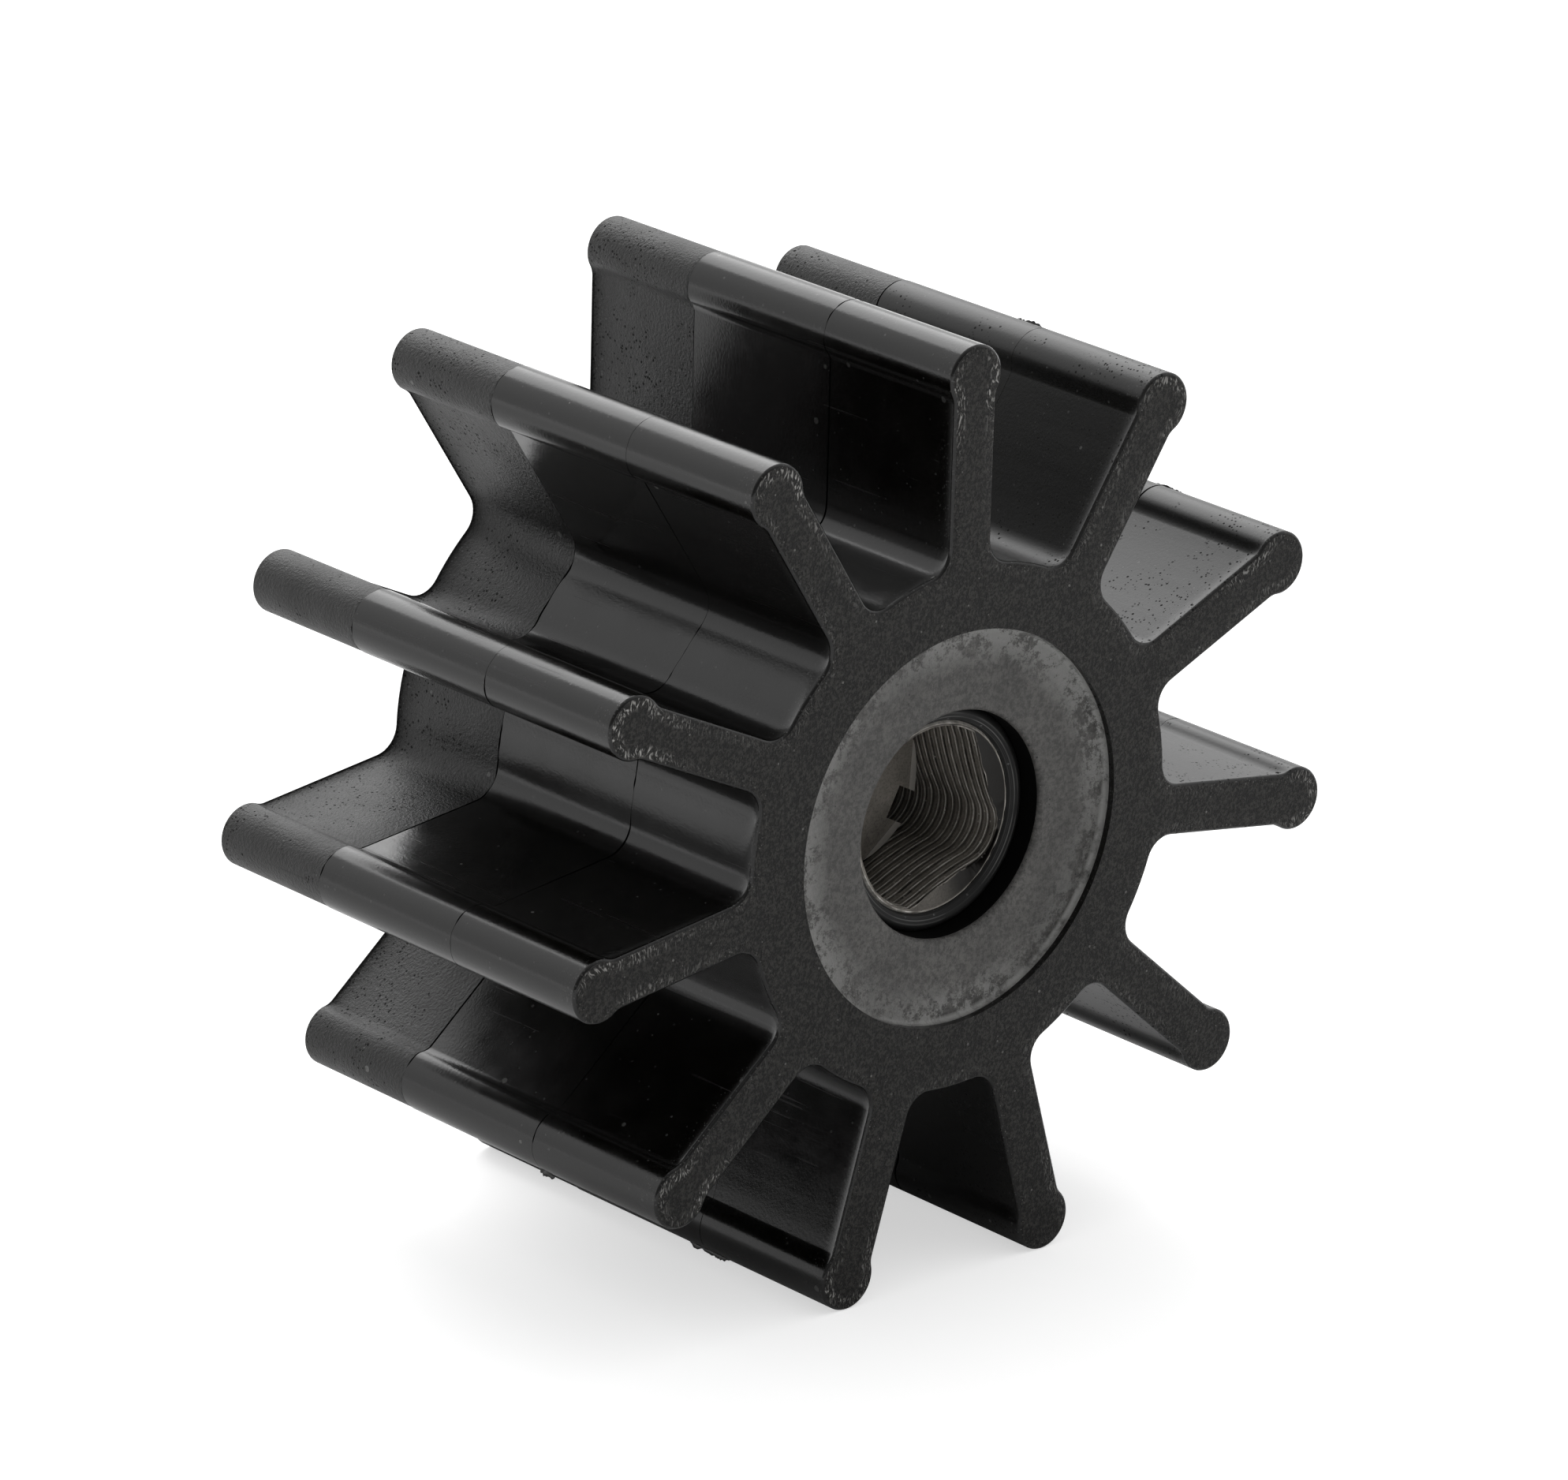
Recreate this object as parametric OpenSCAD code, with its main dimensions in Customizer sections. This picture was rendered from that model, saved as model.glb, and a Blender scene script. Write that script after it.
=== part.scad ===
// Flexible pump impeller: a moulded rubber wheel of straight beaded blades on a round hub, with a
// hub sleeve, a metal drive bush and a sealing ring at each end.
// The axis lies along Y and the origin is on it, half way along the hub. The front faces -Y.
// The two lowest blades straddle -Z, so the impeller stands on their beads.

/* [Rubber body] */
// Diameter over the blade tips
tip_d = 57.15; // [54:0.05:64]
// Width of the hub and blades along the axis
imp_w = 31.75; // [28:0.05:44]
// Number of blades
blade_count = 11; // [8:1:12]
// Thickness of a blade between hub and bead
blade_t = 3.17; // [2.4:0.01:3.5]
// Diameter of the round bead along each blade tip
bead_d = 3.81; // [3.7:0.01:4.6]
// Diameter of the hub between the blades
hub_d = 31.4; // [29:0.1:34]
// Radius of the fillet between blade and hub
root_r = 1.5; // [0.6:0.1:2]
// Radius of the small fillet between blade and bead
neck_r = 1.2; // [0.5:0.1:2]

/* [Hub sleeve] */
// Outside diameter of the sleeve, bonded in the rubber
sleeve_d = 23.5; // [20:0.1:26]
// How far each sleeve end lies below the rubber's face
sleeve_drop = 0.75; // [0.2:0.05:1.6]
// Chamfer round the sleeve's outer rim
sleeve_bevel = 0.35; // [0.1:0.05:0.8]
// Diameter of the round mouth in each sleeve end
mouth_d = 13.5; // [12.9:0.1:14.4]
// Depth of the mouth, from the sleeve's end to the shoulder of the bush
mouth_depth = 2.5; // [2.2:0.1:3.5]

/* [Drive bush] */
// Outside diameter of the bush inside the sleeve
bush_d = 16; // [15.2:0.1:18]
// Diameter of the nose that stands up through the sealing ring
nose_d = 11.4; // [11.2:0.05:12]
// Height of the nose above the shoulder
nose_h = 0.8; // [0.4:0.05:1.6]
// Chamfer round the nose's rim
nose_bevel = 0.12; // [0.05:0.01:0.2]

/* [Drive socket] */
// Diameter of the round bore that the socket starts from
bore_d = 10.8; // [10:0.05:10.9]
// Distance of the two flats from the axis, at their ends
flat_dist = 4.35; // [4.2:0.01:4.8]
// Radius of the corner between the two flats
corner_r = 2.1; // [1.5:0.05:2.6]
// How far the middle of each flat bows into the socket
side_bow = 0.12; // [0.05:0.01:0.2]
// Turn of the socket about the axis, in degrees
socket_turn = 20; // [0:1:45]
// Distance from one ridge to the next along the socket
ridge_pitch = 0.6; // [0.5:0.05:0.8]
// Width of the groove between two ridges
groove_w = 0.22; // [0.1:0.01:0.3]
// Depth of the grooves at the ends of the flats
groove_depth = 0.1; // [0.05:0.01:0.14]
// Number of ridges from the nose down to the end of the core
ridge_count = 9; // [5:1:12]
// Number of further ridges in the gap round the core
gap_ridge_count = 6; // [2:1:7]

/* [Core in the socket] */
// Diameter of the round core that stands up in the socket
core_d = 8.2; // [7.6:0.05:8.3]
// Width of the slot in the core, towards the corner of the socket
slot_w = 2; // [1:0.1:3]
// Distance of the slot's inner end from the axis
slot_start = 2.1; // [1.4:0.1:3]
// Turn of the slot from the first flat, in degrees
slot_turn = -48; // [-60:1:-30]
// Turn of the two sloping facets to either side of the slot, in degrees
facet_turn = 24; // [18:1:40]
// Distance of the facets' inner edges from the axis
facet_dist = 3.07; // [2.6:0.01:3.8]
// How far the facets fall to the core's rim
facet_drop = 0.6; // [0.2:0.05:1]

/* [Sealing rings] */
// Clearance between a sealing ring and each wall round it
ring_play = 0.02; // [0.01:0.01:0.1]

/* [Hidden] */
$fn = 96;
// How far a cutting tool runs past the face that it cuts
over = 1;

// Radii and heights that follow from the sizes above, measured from the middle of the hub
tip_r = tip_d / 2;
hub_r = hub_d / 2;
bead_r = bead_d / 2;
bead_centre = tip_r - bead_r;
sleeve_r = sleeve_d / 2;
mouth_r = mouth_d / 2;
bush_r = bush_d / 2;
nose_r = nose_d / 2;
face_z = imp_w / 2;
sleeve_z = face_z - sleeve_drop;
shoulder_z = sleeve_z - mouth_depth;
nose_z = shoulder_z + nose_h;
core_z = nose_z - ridge_count * ridge_pitch;
floor_z = core_z - gap_ridge_count * ridge_pitch;
bore_r = bore_d / 2;
core_r = core_d / 2;

// A blade is turned so that the two lowest ones stand on the ground side by side
lowest_blade = -90 + 180 / blade_count;

// The neck fillet's centre, where it touches both the blade's side and the bead
neck_x = blade_t / 2 + neck_r;
neck_y = bead_centre - sqrt(pow(bead_r + neck_r, 2) - pow(neck_x, 2));

// Where the neck fillet touches the bead
neck_top_x = neck_x * bead_r / (bead_r + neck_r);
neck_top_y = bead_centre - (bead_centre - neck_y) * bead_r / (bead_r + neck_r);

// The root fillet's centre, where it touches both the blade's side and the hub
root_x = blade_t / 2 + root_r;
root_y = sqrt(pow(hub_r + root_r, 2) - pow(root_x, 2));

// Each flat bows in as an arc over this half width
bow_half = flat_dist - corner_r;
bow_r = (pow(bow_half, 2) + pow(side_bow, 2)) / (2 * side_bow);

// A sealing ring fills the groove between the nose and the mouth's wall
ring_r = (mouth_r - nose_r) / 2 - ring_play;
ring_centre = (mouth_r + nose_r) / 2;
ring_z = shoulder_z + ring_r + ring_play;

// Turns a shape drawn with its axis along +Z so that its top becomes the front, facing -Y
module face_front() {
    rotate([90, 0, 0]) children();
}

// The same shape at both ends of the hub, drawn once for the front end
module both_ends() {
    children();
    mirror([0, 0, 1]) children();
}

// Section of one blade, pointing along +Y from the axis: the plain blade and its bead, with the
// corners at neck and root filled and then rounded out by the fillets
module blade_section() {
    difference() {
        union() {
            translate([-blade_t / 2, 0]) square([blade_t, bead_centre]);
            translate([0, bead_centre]) circle(bead_r);
            polygon([
                [-blade_t / 2, neck_y],
                [blade_t / 2, neck_y],
                [neck_top_x, neck_top_y],
                [-neck_top_x, neck_top_y]
            ]);
            polygon([[-root_x, root_y], [0, 0], [root_x, root_y]]);
        }
        for (side = [-1, 1]) {
            translate([side * neck_x, neck_y]) circle(neck_r);
            translate([side * root_x, root_y]) circle(root_r);
        }
    }
}

// Rubber body: the hub and all blades, one moulding
module impeller_rubber() {
    color([0.07, 0.07, 0.07]) face_front() difference() {
        translate([0, 0, -face_z]) linear_extrude(imp_w) {
            circle(hub_r);
            for (i = [0 : blade_count - 1]) {
                rotate(lowest_blade - 90 + i * 360 / blade_count) blade_section();
            }
        }
        translate([0, 0, -face_z - over]) cylinder(r = sleeve_r, h = imp_w + 2 * over);
    }
}

// Hub sleeve: half its section turned round the axis, with a mouth and a lip at each end
module hub_sleeve() {
    color([0.31, 0.31, 0.31]) face_front() rotate_extrude() polygon([
        [bush_r, -shoulder_z],
        [mouth_r, -shoulder_z],
        [mouth_r, -sleeve_z],
        [sleeve_r - sleeve_bevel, -sleeve_z],
        [sleeve_r, -sleeve_z + sleeve_bevel],
        [sleeve_r, sleeve_z - sleeve_bevel],
        [sleeve_r - sleeve_bevel, sleeve_z],
        [mouth_r, sleeve_z],
        [mouth_r, shoulder_z],
        [bush_r, shoulder_z]
    ]);
}

// Plain outline of the socket, made larger all round by grow: a round bore with a flat towards +X, a
// flat towards -Y and a round corner between them
module plain_outline(grow) {
    flat = flat_dist + grow;
    corner = corner_r + grow;
    intersection() {
        circle(bore_r + grow);
        union() {
            translate([-bush_r, corner - flat]) square([bush_r + flat, 2 * bush_r]);
            translate([-bush_r, -flat]) square([bush_r + flat - corner, 2 * bush_r]);
            translate([flat - corner, corner - flat]) circle(corner);
        }
    }
}

// Outline of the socket between grooves, its two flats bowed inwards
module socket_outline() {
    difference() {
        plain_outline(0);
        for (a = [0, -90]) {
            rotate(a) translate([flat_dist - side_bow + bow_r, 0]) circle(bow_r);
        }
    }
}

// Grooves round the socket, one above each ridge, from the nose down to the floor
module grooves() {
    for (i = [1 : ridge_count + gap_ridge_count]) {
        middle_z = nose_z - (i - 0.5) * ridge_pitch;
        translate([0, 0, middle_z - groove_w / 2]) linear_extrude(groove_w) plain_outline(groove_depth);
    }
}

// Round core that stands up from the socket's floor, with a slot and two facets beside it
module core() {
    height = core_z - floor_z + over;
    difference() {
        translate([0, 0, floor_z - over]) cylinder(r = core_r, h = height);
        rotate(slot_turn) translate([slot_start, -slot_w / 2, floor_z]) cube([core_r, slot_w, height]);
        for (side = [-1, 1]) rotate(slot_turn + side * facet_turn) core_facet();
    }
}

// What is cut off the core's end to leave one sloping facet towards +X
module core_facet() {
    run = core_r - facet_dist;
    translate([facet_dist, core_r, core_z]) rotate([90, 0, 0]) linear_extrude(2 * core_r) {
        polygon([[-run, facet_drop], [2 * run, -2 * facet_drop], [2 * run, facet_drop]]);
    }
}

// Everything that is cut out of one end of the bush for the drive
module socket_cut() {
    rotate(socket_turn) difference() {
        union() {
            translate([0, 0, floor_z]) linear_extrude(nose_z - floor_z + over) socket_outline();
            grooves();
        }
        core();
    }
}

// Drive bush: a turned body with a nose at each end, and a ridged socket from each nose
module drive_bush() {
    color([0.36, 0.34, 0.31]) face_front() difference() {
        rotate_extrude() polygon([
            [0, -nose_z],
            [nose_r - nose_bevel, -nose_z],
            [nose_r, -nose_z + nose_bevel],
            [nose_r, -shoulder_z],
            [bush_r, -shoulder_z],
            [bush_r, shoulder_z],
            [nose_r, shoulder_z],
            [nose_r, nose_z - nose_bevel],
            [nose_r - nose_bevel, nose_z],
            [0, nose_z]
        ]);
        both_ends() socket_cut();
    }
}

// Round sealing ring, drawn for the front end
module sealing_ring() {
    translate([0, 0, ring_z]) rotate_extrude() translate([ring_centre, 0]) circle(ring_r);
}

// Sealing ring round the front nose
module front_o_ring() {
    color([0.13, 0.13, 0.14]) face_front() sealing_ring();
}

// Sealing ring round the rear nose
module rear_o_ring() {
    color([0.13, 0.13, 0.14]) face_front() mirror([0, 0, 1]) sealing_ring();
}

impeller_rubber();
hub_sleeve();
drive_bush();
front_o_ring();
rear_o_ring();
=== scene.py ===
"""Looks of a flexible pump impeller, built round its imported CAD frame.

The rubber body, the hub sleeve, the drive bush and the two sealing rings are modelled here as
finished meshes with procedural finishes. Sizes are in metres, the axis lies along Y, the front
faces -Y, and the origin is on the axis half way along the hub.
"""

from __future__ import annotations

import logging
import math
from dataclasses import dataclass, field
from enum import Enum

import bmesh
import bpy
from mathutils import Matrix, Vector, noise

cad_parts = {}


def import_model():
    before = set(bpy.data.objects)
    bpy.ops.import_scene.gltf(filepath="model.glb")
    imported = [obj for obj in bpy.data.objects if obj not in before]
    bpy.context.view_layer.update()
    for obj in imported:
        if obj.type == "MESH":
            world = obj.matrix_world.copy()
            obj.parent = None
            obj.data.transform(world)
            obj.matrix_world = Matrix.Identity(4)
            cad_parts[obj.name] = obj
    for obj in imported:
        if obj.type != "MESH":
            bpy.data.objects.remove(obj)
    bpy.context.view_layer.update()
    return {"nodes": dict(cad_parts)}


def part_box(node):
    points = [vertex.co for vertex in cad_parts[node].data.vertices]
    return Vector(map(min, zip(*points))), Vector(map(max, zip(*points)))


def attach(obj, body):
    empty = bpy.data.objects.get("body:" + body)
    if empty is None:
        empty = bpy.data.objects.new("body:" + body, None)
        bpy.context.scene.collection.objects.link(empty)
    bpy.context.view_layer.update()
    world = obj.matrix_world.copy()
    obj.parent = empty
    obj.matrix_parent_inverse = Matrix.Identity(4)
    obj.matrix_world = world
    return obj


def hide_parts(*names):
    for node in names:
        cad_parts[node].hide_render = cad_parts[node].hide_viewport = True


BMesh = bmesh.types.BMesh
BMVert = bmesh.types.BMVert
BMEdge = bmesh.types.BMEdge
Socket = bpy.types.NodeSocket
Sockets = bpy.types.bpy_prop_collection

LOG = logging.getLogger("impeller")
MM = 0.001
AXIS = Vector((0.0, 1.0, 0.0))
ORIGIN = Vector((0.0, 0.0, 0.0))
WHITE = (1.0, 1.0, 1.0, 1.0)
# Points nearer than this are one point, and the ends of an outline join within the second value
TOUCH = 1e-7
JOIN = 1e-6


class Zone(Enum):
    """Parts of the rubber's skin that have a finish of their own, by material slot number."""

    GLOSSY = 0
    SATIN = 1
    GROUND = 2
    # Faces down in the mould seams, painted matt black as shade.
    SEAM = 3


class MouthZone(Enum):
    """Parts of the hub sleeve that have a finish of their own, by material slot number."""

    FACE = 0
    # The wall of the mouth, painted matt black as shade.
    SHADED = 1


@dataclass(frozen=True)
class HubSizes:
    """Sizes that neighbouring pieces share. Places lie along the axis, from the hub's middle."""

    face_y: float = 15.875 * MM
    sleeve_r: float = 11.75 * MM
    sleeve_drop: float = 0.75 * MM
    mouth_r: float = 6.75 * MM
    mouth_depth: float = 2.5 * MM
    bush_r: float = 8.0 * MM
    nose_r: float = 5.7 * MM
    nose_height: float = 0.8 * MM

    @property
    def sleeve_y(self) -> float:
        """Place of the sleeve's end, a little below the rubber's face."""
        return self.face_y - self.sleeve_drop

    @property
    def shoulder_y(self) -> float:
        """Place of the shoulder at the bottom of the sleeve's mouth."""
        return self.sleeve_y - self.mouth_depth

    @property
    def nose_y(self) -> float:
        """Place of the bush's end, on the nose that stands up from the shoulder."""
        return self.shoulder_y + self.nose_height


HUB = HubSizes()


def hypot_xz(point: Vector) -> float:
    """Returns a point's distance from the impeller's axis."""
    return math.hypot(point.x, point.z)


def outward_at(point: Vector) -> Vector:
    """Returns the direction straight away from the axis at a point."""
    return Vector((point.x, 0.0, point.z)).normalized()


def polar(radius: float, angle: float, y: float) -> Vector:
    """Returns the point at a radius from the axis and at an angle from +Z towards +X."""
    return Vector((radius * math.sin(angle), y, radius * math.cos(angle)))


def bearing(x: float, z: float) -> float:
    """Returns the angle of a direction from +Z towards +X, in radians."""
    return math.atan2(x, z)


def smooth_step(low: float, high: float, value: float) -> float:
    """Returns 0 below low, 1 above high and a smooth blend between them."""
    t = min(1.0, max(0.0, (value - low) / (high - low)))
    return t * t * (3.0 - 2.0 * t)


def rough_at(spot: Vector, coarse: float, fine: float, share: float) -> float:
    """Returns noise at a coarse scale, with a share of noise at a fine scale added to it."""
    return noise.noise(spot * coarse) + share * noise.noise(spot * fine)


def everything(bm: BMesh) -> list:
    """Returns all vertices, edges and faces of a mesh."""
    return bm.verts[:] + bm.edges[:] + bm.faces[:]


def arc_to(bm: BMesh, start: BMVert, centre: Vector, sweep: float, steps: int) -> BMVert:
    """Draws an arc from a vertex, from +Z towards +X, and returns the vertex at its end."""
    made = bmesh.ops.spin(bm, geom=[start], cent=centre, axis=AXIS, angle=sweep, steps=steps,
                          use_duplicate=False)
    return next(item for item in made["geom_last"] if isinstance(item, BMVert))


def line_to(bm: BMesh, start: BMVert, end: Vector) -> BMVert:
    """Draws one straight edge from a vertex to a point.

    Args:
        bm: Mesh that is being drawn.
        start: Vertex that the edge leaves from.
        end: Point where it ends.

    Returns:
        The new vertex.
    """
    vert = bmesh.ops.extrude_vert_indiv(bm, verts=[start])["verts"][0]
    vert.co = end
    return vert


def flat_ring(bm: BMesh, y: float, radius: float, segments: int) -> tuple[list, list]:
    """Draws a circle of edges round the axis.

    Args:
        bm: Mesh that is being drawn.
        y: Place of the circle along the axis.
        radius: Radius of the circle.
        segments: Number of edges.

    Returns:
        The circle's vertices and its edges.
    """
    stand = Matrix.Translation(AXIS * y) @ Matrix.Rotation(math.pi / 2, 4, "X")
    verts = bmesh.ops.create_circle(bm, segments=segments, radius=radius, matrix=stand)["verts"]
    return verts, list({e for v in verts for e in v.link_edges})


def draw_out(bm: BMesh, edges: list[BMEdge]) -> tuple[list[BMVert], list[BMEdge]]:
    """Extrudes a loop in place and returns the new loop's vertices and its edges."""
    made = bmesh.ops.extrude_edge_only(bm, edges=edges)["geom"]
    return ([item for item in made if isinstance(item, BMVert)],
            [item for item in made if isinstance(item, BMEdge) and item.is_boundary])


def raise_wall(bm: BMesh, length: float) -> None:
    """Draws an outline out along the axis into a wall.

    Args:
        bm: Mesh that holds the outline alone.
        length: Length of the wall.
    """
    far, _ = draw_out(bm, bm.edges[:])
    bmesh.ops.translate(bm, verts=far, vec=AXIS * length)
    bmesh.ops.recalc_face_normals(bm, faces=bm.faces[:])
    bm.normal_update()


def cut_ring(bm: BMesh, y: float) -> None:
    """Cuts a ring of vertices into a wall at a place along the axis."""
    bmesh.ops.bisect_plane(bm, geom=everything(bm), dist=TOUCH, plane_co=AXIS * y, plane_no=AXIS)


def close_shell(bm: BMesh) -> None:
    """Merges vertices that lie on one another and turns all faces outwards."""
    bmesh.ops.remove_doubles(bm, verts=bm.verts[:], dist=TOUCH)
    bmesh.ops.recalc_face_normals(bm, faces=bm.faces[:])


def turn_section(bm: BMesh, steps: int) -> None:
    """Spins a closed section once round the axis, in a number of steps, and closes the shell."""
    bmesh.ops.spin(bm, geom=bm.verts[:] + bm.edges[:], cent=ORIGIN, axis=AXIS, angle=2 * math.pi,
                   steps=steps, use_merge=True, use_duplicate=False)
    close_shell(bm)


def finish_mesh(bm: BMesh, name: str, sharp_angle: float) -> bpy.types.Object:
    """Turns a bmesh into a smooth-shaded object that sits at the origin.

    Args:
        bm: Mesh to store. It is freed.
        name: Name of the new object.
        sharp_angle: Edges bent by more than this angle stay sharp, in radians.

    Returns:
        The new object, linked to the scene.
    """
    mesh = bpy.data.meshes.new(name)
    bm.to_mesh(mesh)
    bm.free()
    mesh.shade_smooth()
    mesh.set_sharp_from_angle(angle=sharp_angle)
    piece = bpy.data.objects.new(name, mesh)
    bpy.context.scene.collection.objects.link(piece)
    return piece


class NodeTree:
    """Small helper that adds and joins shader nodes."""

    def __init__(self, tree: bpy.types.NodeTree) -> None:
        """Starts on a tree and empties it."""
        self.tree = tree
        self.tree.nodes.clear()

    def add(self, kind: str, inputs: dict | None = None, **settings: object) -> bpy.types.Node:
        """Adds one node.

        Args:
            kind: Type name of the node.
            inputs: Socket name or number to a constant or to another node's output.
            **settings: Properties of the node.

        Returns:
            The new node.
        """
        node = self.tree.nodes.new(kind)
        for key, value in settings.items():
            setattr(node, key, value)
        for key, value in (inputs or {}).items():
            if isinstance(value, Socket):
                self.tree.links.new(value, node.inputs[key])
            else:
                node.inputs[key].default_value = value
        return node

    def math(self, operation: str, *values: object, clamp: bool = False) -> Socket:
        """Adds a Math node, which can keep its output from 0 to 1, and returns that output."""
        return self.add("ShaderNodeMath", dict(enumerate(values)), operation=operation,
                        use_clamp=clamp).outputs[0]

    def times(self, first: object, *others: object) -> Socket:
        """Adds the Math nodes that multiply some values, and returns their product."""
        for other in others:
            first = self.math("MULTIPLY", first, other)
        return first

    def times_add(self, value: object, factor: object, addend: object) -> Socket:
        """Adds a Math node that multiplies and then adds, and returns its output."""
        return self.math("MULTIPLY_ADD", value, factor, addend)

    def stretch(self, vector: object, factors: object) -> Socket:
        """Adds a Vector Math node that scales a coordinate on each axis."""
        inputs = {0: vector, 1: factors}
        return self.add("ShaderNodeVectorMath", inputs, operation="MULTIPLY").outputs[0]

    def length(self, vector: object) -> Socket:
        """Adds a Vector Math node and returns a vector's length."""
        return self.add("ShaderNodeVectorMath", {0: vector}, operation="LENGTH").outputs["Value"]

    def mix(self, factor: object, first: object, second: object) -> Socket:
        """Adds a colour Mix node.

        Args:
            factor: Share of the second colour.
            first: Colour or output at a factor of 0.
            second: Colour or output at a factor of 1.

        Returns:
            The mixed colour.
        """
        node = self.add("ShaderNodeMix", {"Factor": factor}, data_type="RGBA")
        for socket, value in ((node.inputs[6], first), (node.inputs[7], second)):
            if isinstance(value, Socket):
                self.tree.links.new(value, socket)
            else:
                socket.default_value = value
        return node.outputs[2]

    def coat(self, colour: object, top: tuple, *masks: object) -> Socket:
        """Lays a top colour over another by the product of some masks and shares."""
        return self.mix(self.times(*masks), colour, top)

    def remap(self, value: object, low: float, high: float, to_low: float = 0.0,
              to_high: float = 1.0) -> Socket:
        """Adds a clamped Map Range node and returns its output."""
        node = self.add("ShaderNodeMapRange", {"Value": value, "From Min": low, "From Max": high,
                                               "To Min": to_low, "To Max": to_high})
        return node.outputs[0]

    def noise(self, vector: object, scale: object, detail: float, roughness: float = 0.5) -> Socket:
        """Adds a Noise Texture and returns its value output."""
        node = self.add("ShaderNodeTexNoise", {"Vector": vector, "Scale": scale, "Detail": detail,
                                               "Roughness": roughness})
        return node.outputs[0]

    def attribute(self, name: str) -> Socket:
        """Adds an Attribute node and returns the value that the mesh holds under a name."""
        return self.add("ShaderNodeAttribute", attribute_name=name).outputs["Fac"]

    def bump(self, height: object, distance: float, strength: float = 1.0,
             under: Socket | None = None) -> Socket:
        """Adds a Bump node.

        Args:
            height: Height of the relief.
            distance: What a height of 1 stands for.
            strength: Share of the relief that shows.
            under: Normal to start from, or None for the surface's own.

        Returns:
            The new normal.
        """
        inputs = {"Strength": strength, "Distance": distance, "Height": height}
        if under is not None:
            inputs["Normal"] = under
        return self.add("ShaderNodeBump", inputs).outputs[0]


class GroupTree(NodeTree):
    """Node helper of one new shader group, with a Vector input, number inputs and one output."""

    def __init__(self, name: str, output: str, **numbers: float) -> None:
        """Makes an empty group.

        Args:
            name: Name of the group.
            output: Name of its output.
            **numbers: Name and default of each number input.
        """
        group = bpy.data.node_groups.new(name, "ShaderNodeTree")
        face = group.interface
        face.new_socket("Vector", in_out="INPUT", socket_type="NodeSocketVector")
        for key, value in numbers.items():
            socket = face.new_socket(key, in_out="INPUT", socket_type="NodeSocketFloat")
            socket.default_value = value
        face.new_socket(output, in_out="OUTPUT", socket_type="NodeSocketFloat")
        super().__init__(group)
        self.output = output
        self.enter = self.add("NodeGroupInput").outputs

    def finish(self, value: Socket) -> bpy.types.NodeTree:
        """Joins a value to the group's output, and returns the group."""
        self.add("NodeGroupOutput", {self.output: value})
        return self.tree

    def cells(self) -> tuple[Socket, Sockets, Socket]:
        """Adds scattered cells, and chooses some of them at random.

        Returns:
            The distance from each cell's middle, each cell's three random numbers, and a mask that
            is 1 in the chosen cells.
        """
        inputs = {"Vector": self.enter["Vector"], "Scale": self.enter["Scale"]}
        cells = self.add("ShaderNodeTexVoronoi", inputs).outputs
        pick = self.add("ShaderNodeSeparateColor", {"Color": cells["Color"]}).outputs
        limit = self.math("SUBTRACT", 1.0, self.enter["Amount"])
        return cells["Distance"], pick, self.math("GREATER_THAN", pick[1], limit)


class PatternGroups:
    """Shader node groups that more than one finish uses, each built once and found by name."""

    def __init__(self) -> None:
        """Builds the groups."""
        self.made = {"speckle": self._speckle(), "scratches": self._scratches(),
                     "mottle": self._mottle(), "pits": self._pits(), "pocks": self._pocks()}

    @staticmethod
    def _speckle() -> bpy.types.NodeTree:
        """Builds sparse bright specks of dust and chalk, large and small."""
        tree = GroupTree("speckle", "Mask", Scale=4000.0, Amount=0.5)
        distance, pick, chosen = tree.cells()
        spot = tree.math("LESS_THAN", distance, tree.times(pick[0], 0.3))
        return tree.finish(tree.times(spot, chosen, tree.times_add(pick[2], 0.7, 0.3)))

    @staticmethod
    def _scratches() -> bpy.types.NodeTree:
        """Builds fine broken lines that run along the impeller's axis."""
        tree = GroupTree("scratches", "Mask", Across=2200.0, Along=60.0, Amount=0.5)
        across, along = tree.enter["Across"], tree.enter["Along"]
        scale = tree.add("ShaderNodeCombineXYZ", {"X": across, "Y": along, "Z": across})
        lines = tree.noise(tree.stretch(tree.enter["Vector"], scale.outputs[0]), 1.0, 2.0, 0.6)
        sharp = tree.math("SUBTRACT", lines, tree.times_add(tree.enter["Amount"], -0.16, 0.74))
        return tree.finish(tree.math("MULTIPLY", sharp, 14.0, clamp=True))

    @staticmethod
    def _mottle() -> bpy.types.NodeTree:
        """Builds soft uneven patches, from 0 to 1."""
        tree = GroupTree("mottle", "Mask", Scale=300.0, Contrast=1.0)
        broad = tree.noise(tree.enter["Vector"], tree.enter["Scale"], 4.0, 0.62)
        off_middle = tree.math("SUBTRACT", broad, 0.5)
        stretched = tree.times_add(off_middle, tree.enter["Contrast"], 0.5)
        return tree.finish(tree.math("ADD", stretched, 0.0, clamp=True))

    @staticmethod
    def _pits() -> bpy.types.NodeTree:
        """Builds the fine grain of a ground or porous surface, as a height from 0 to 1."""
        tree = GroupTree("pits", "Height", Scale=9000.0, Depth=1.0)
        grain = tree.noise(tree.enter["Vector"], tree.enter["Scale"], 3.0, 0.7)
        return tree.finish(tree.times(grain, tree.enter["Depth"]))

    @staticmethod
    def _pocks() -> bpy.types.NodeTree:
        """Builds scattered small round hollows, as a depth from 0 to 1."""
        tree = GroupTree("pocks", "Depth", Scale=3000.0, Amount=0.5)
        distance, pick, chosen = tree.cells()
        share = tree.math("DIVIDE", distance, tree.times_add(pick[0], 0.30, 0.12))
        return tree.finish(tree.times(tree.math("SUBTRACT", 1.0, share, clamp=True), chosen))


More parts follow.
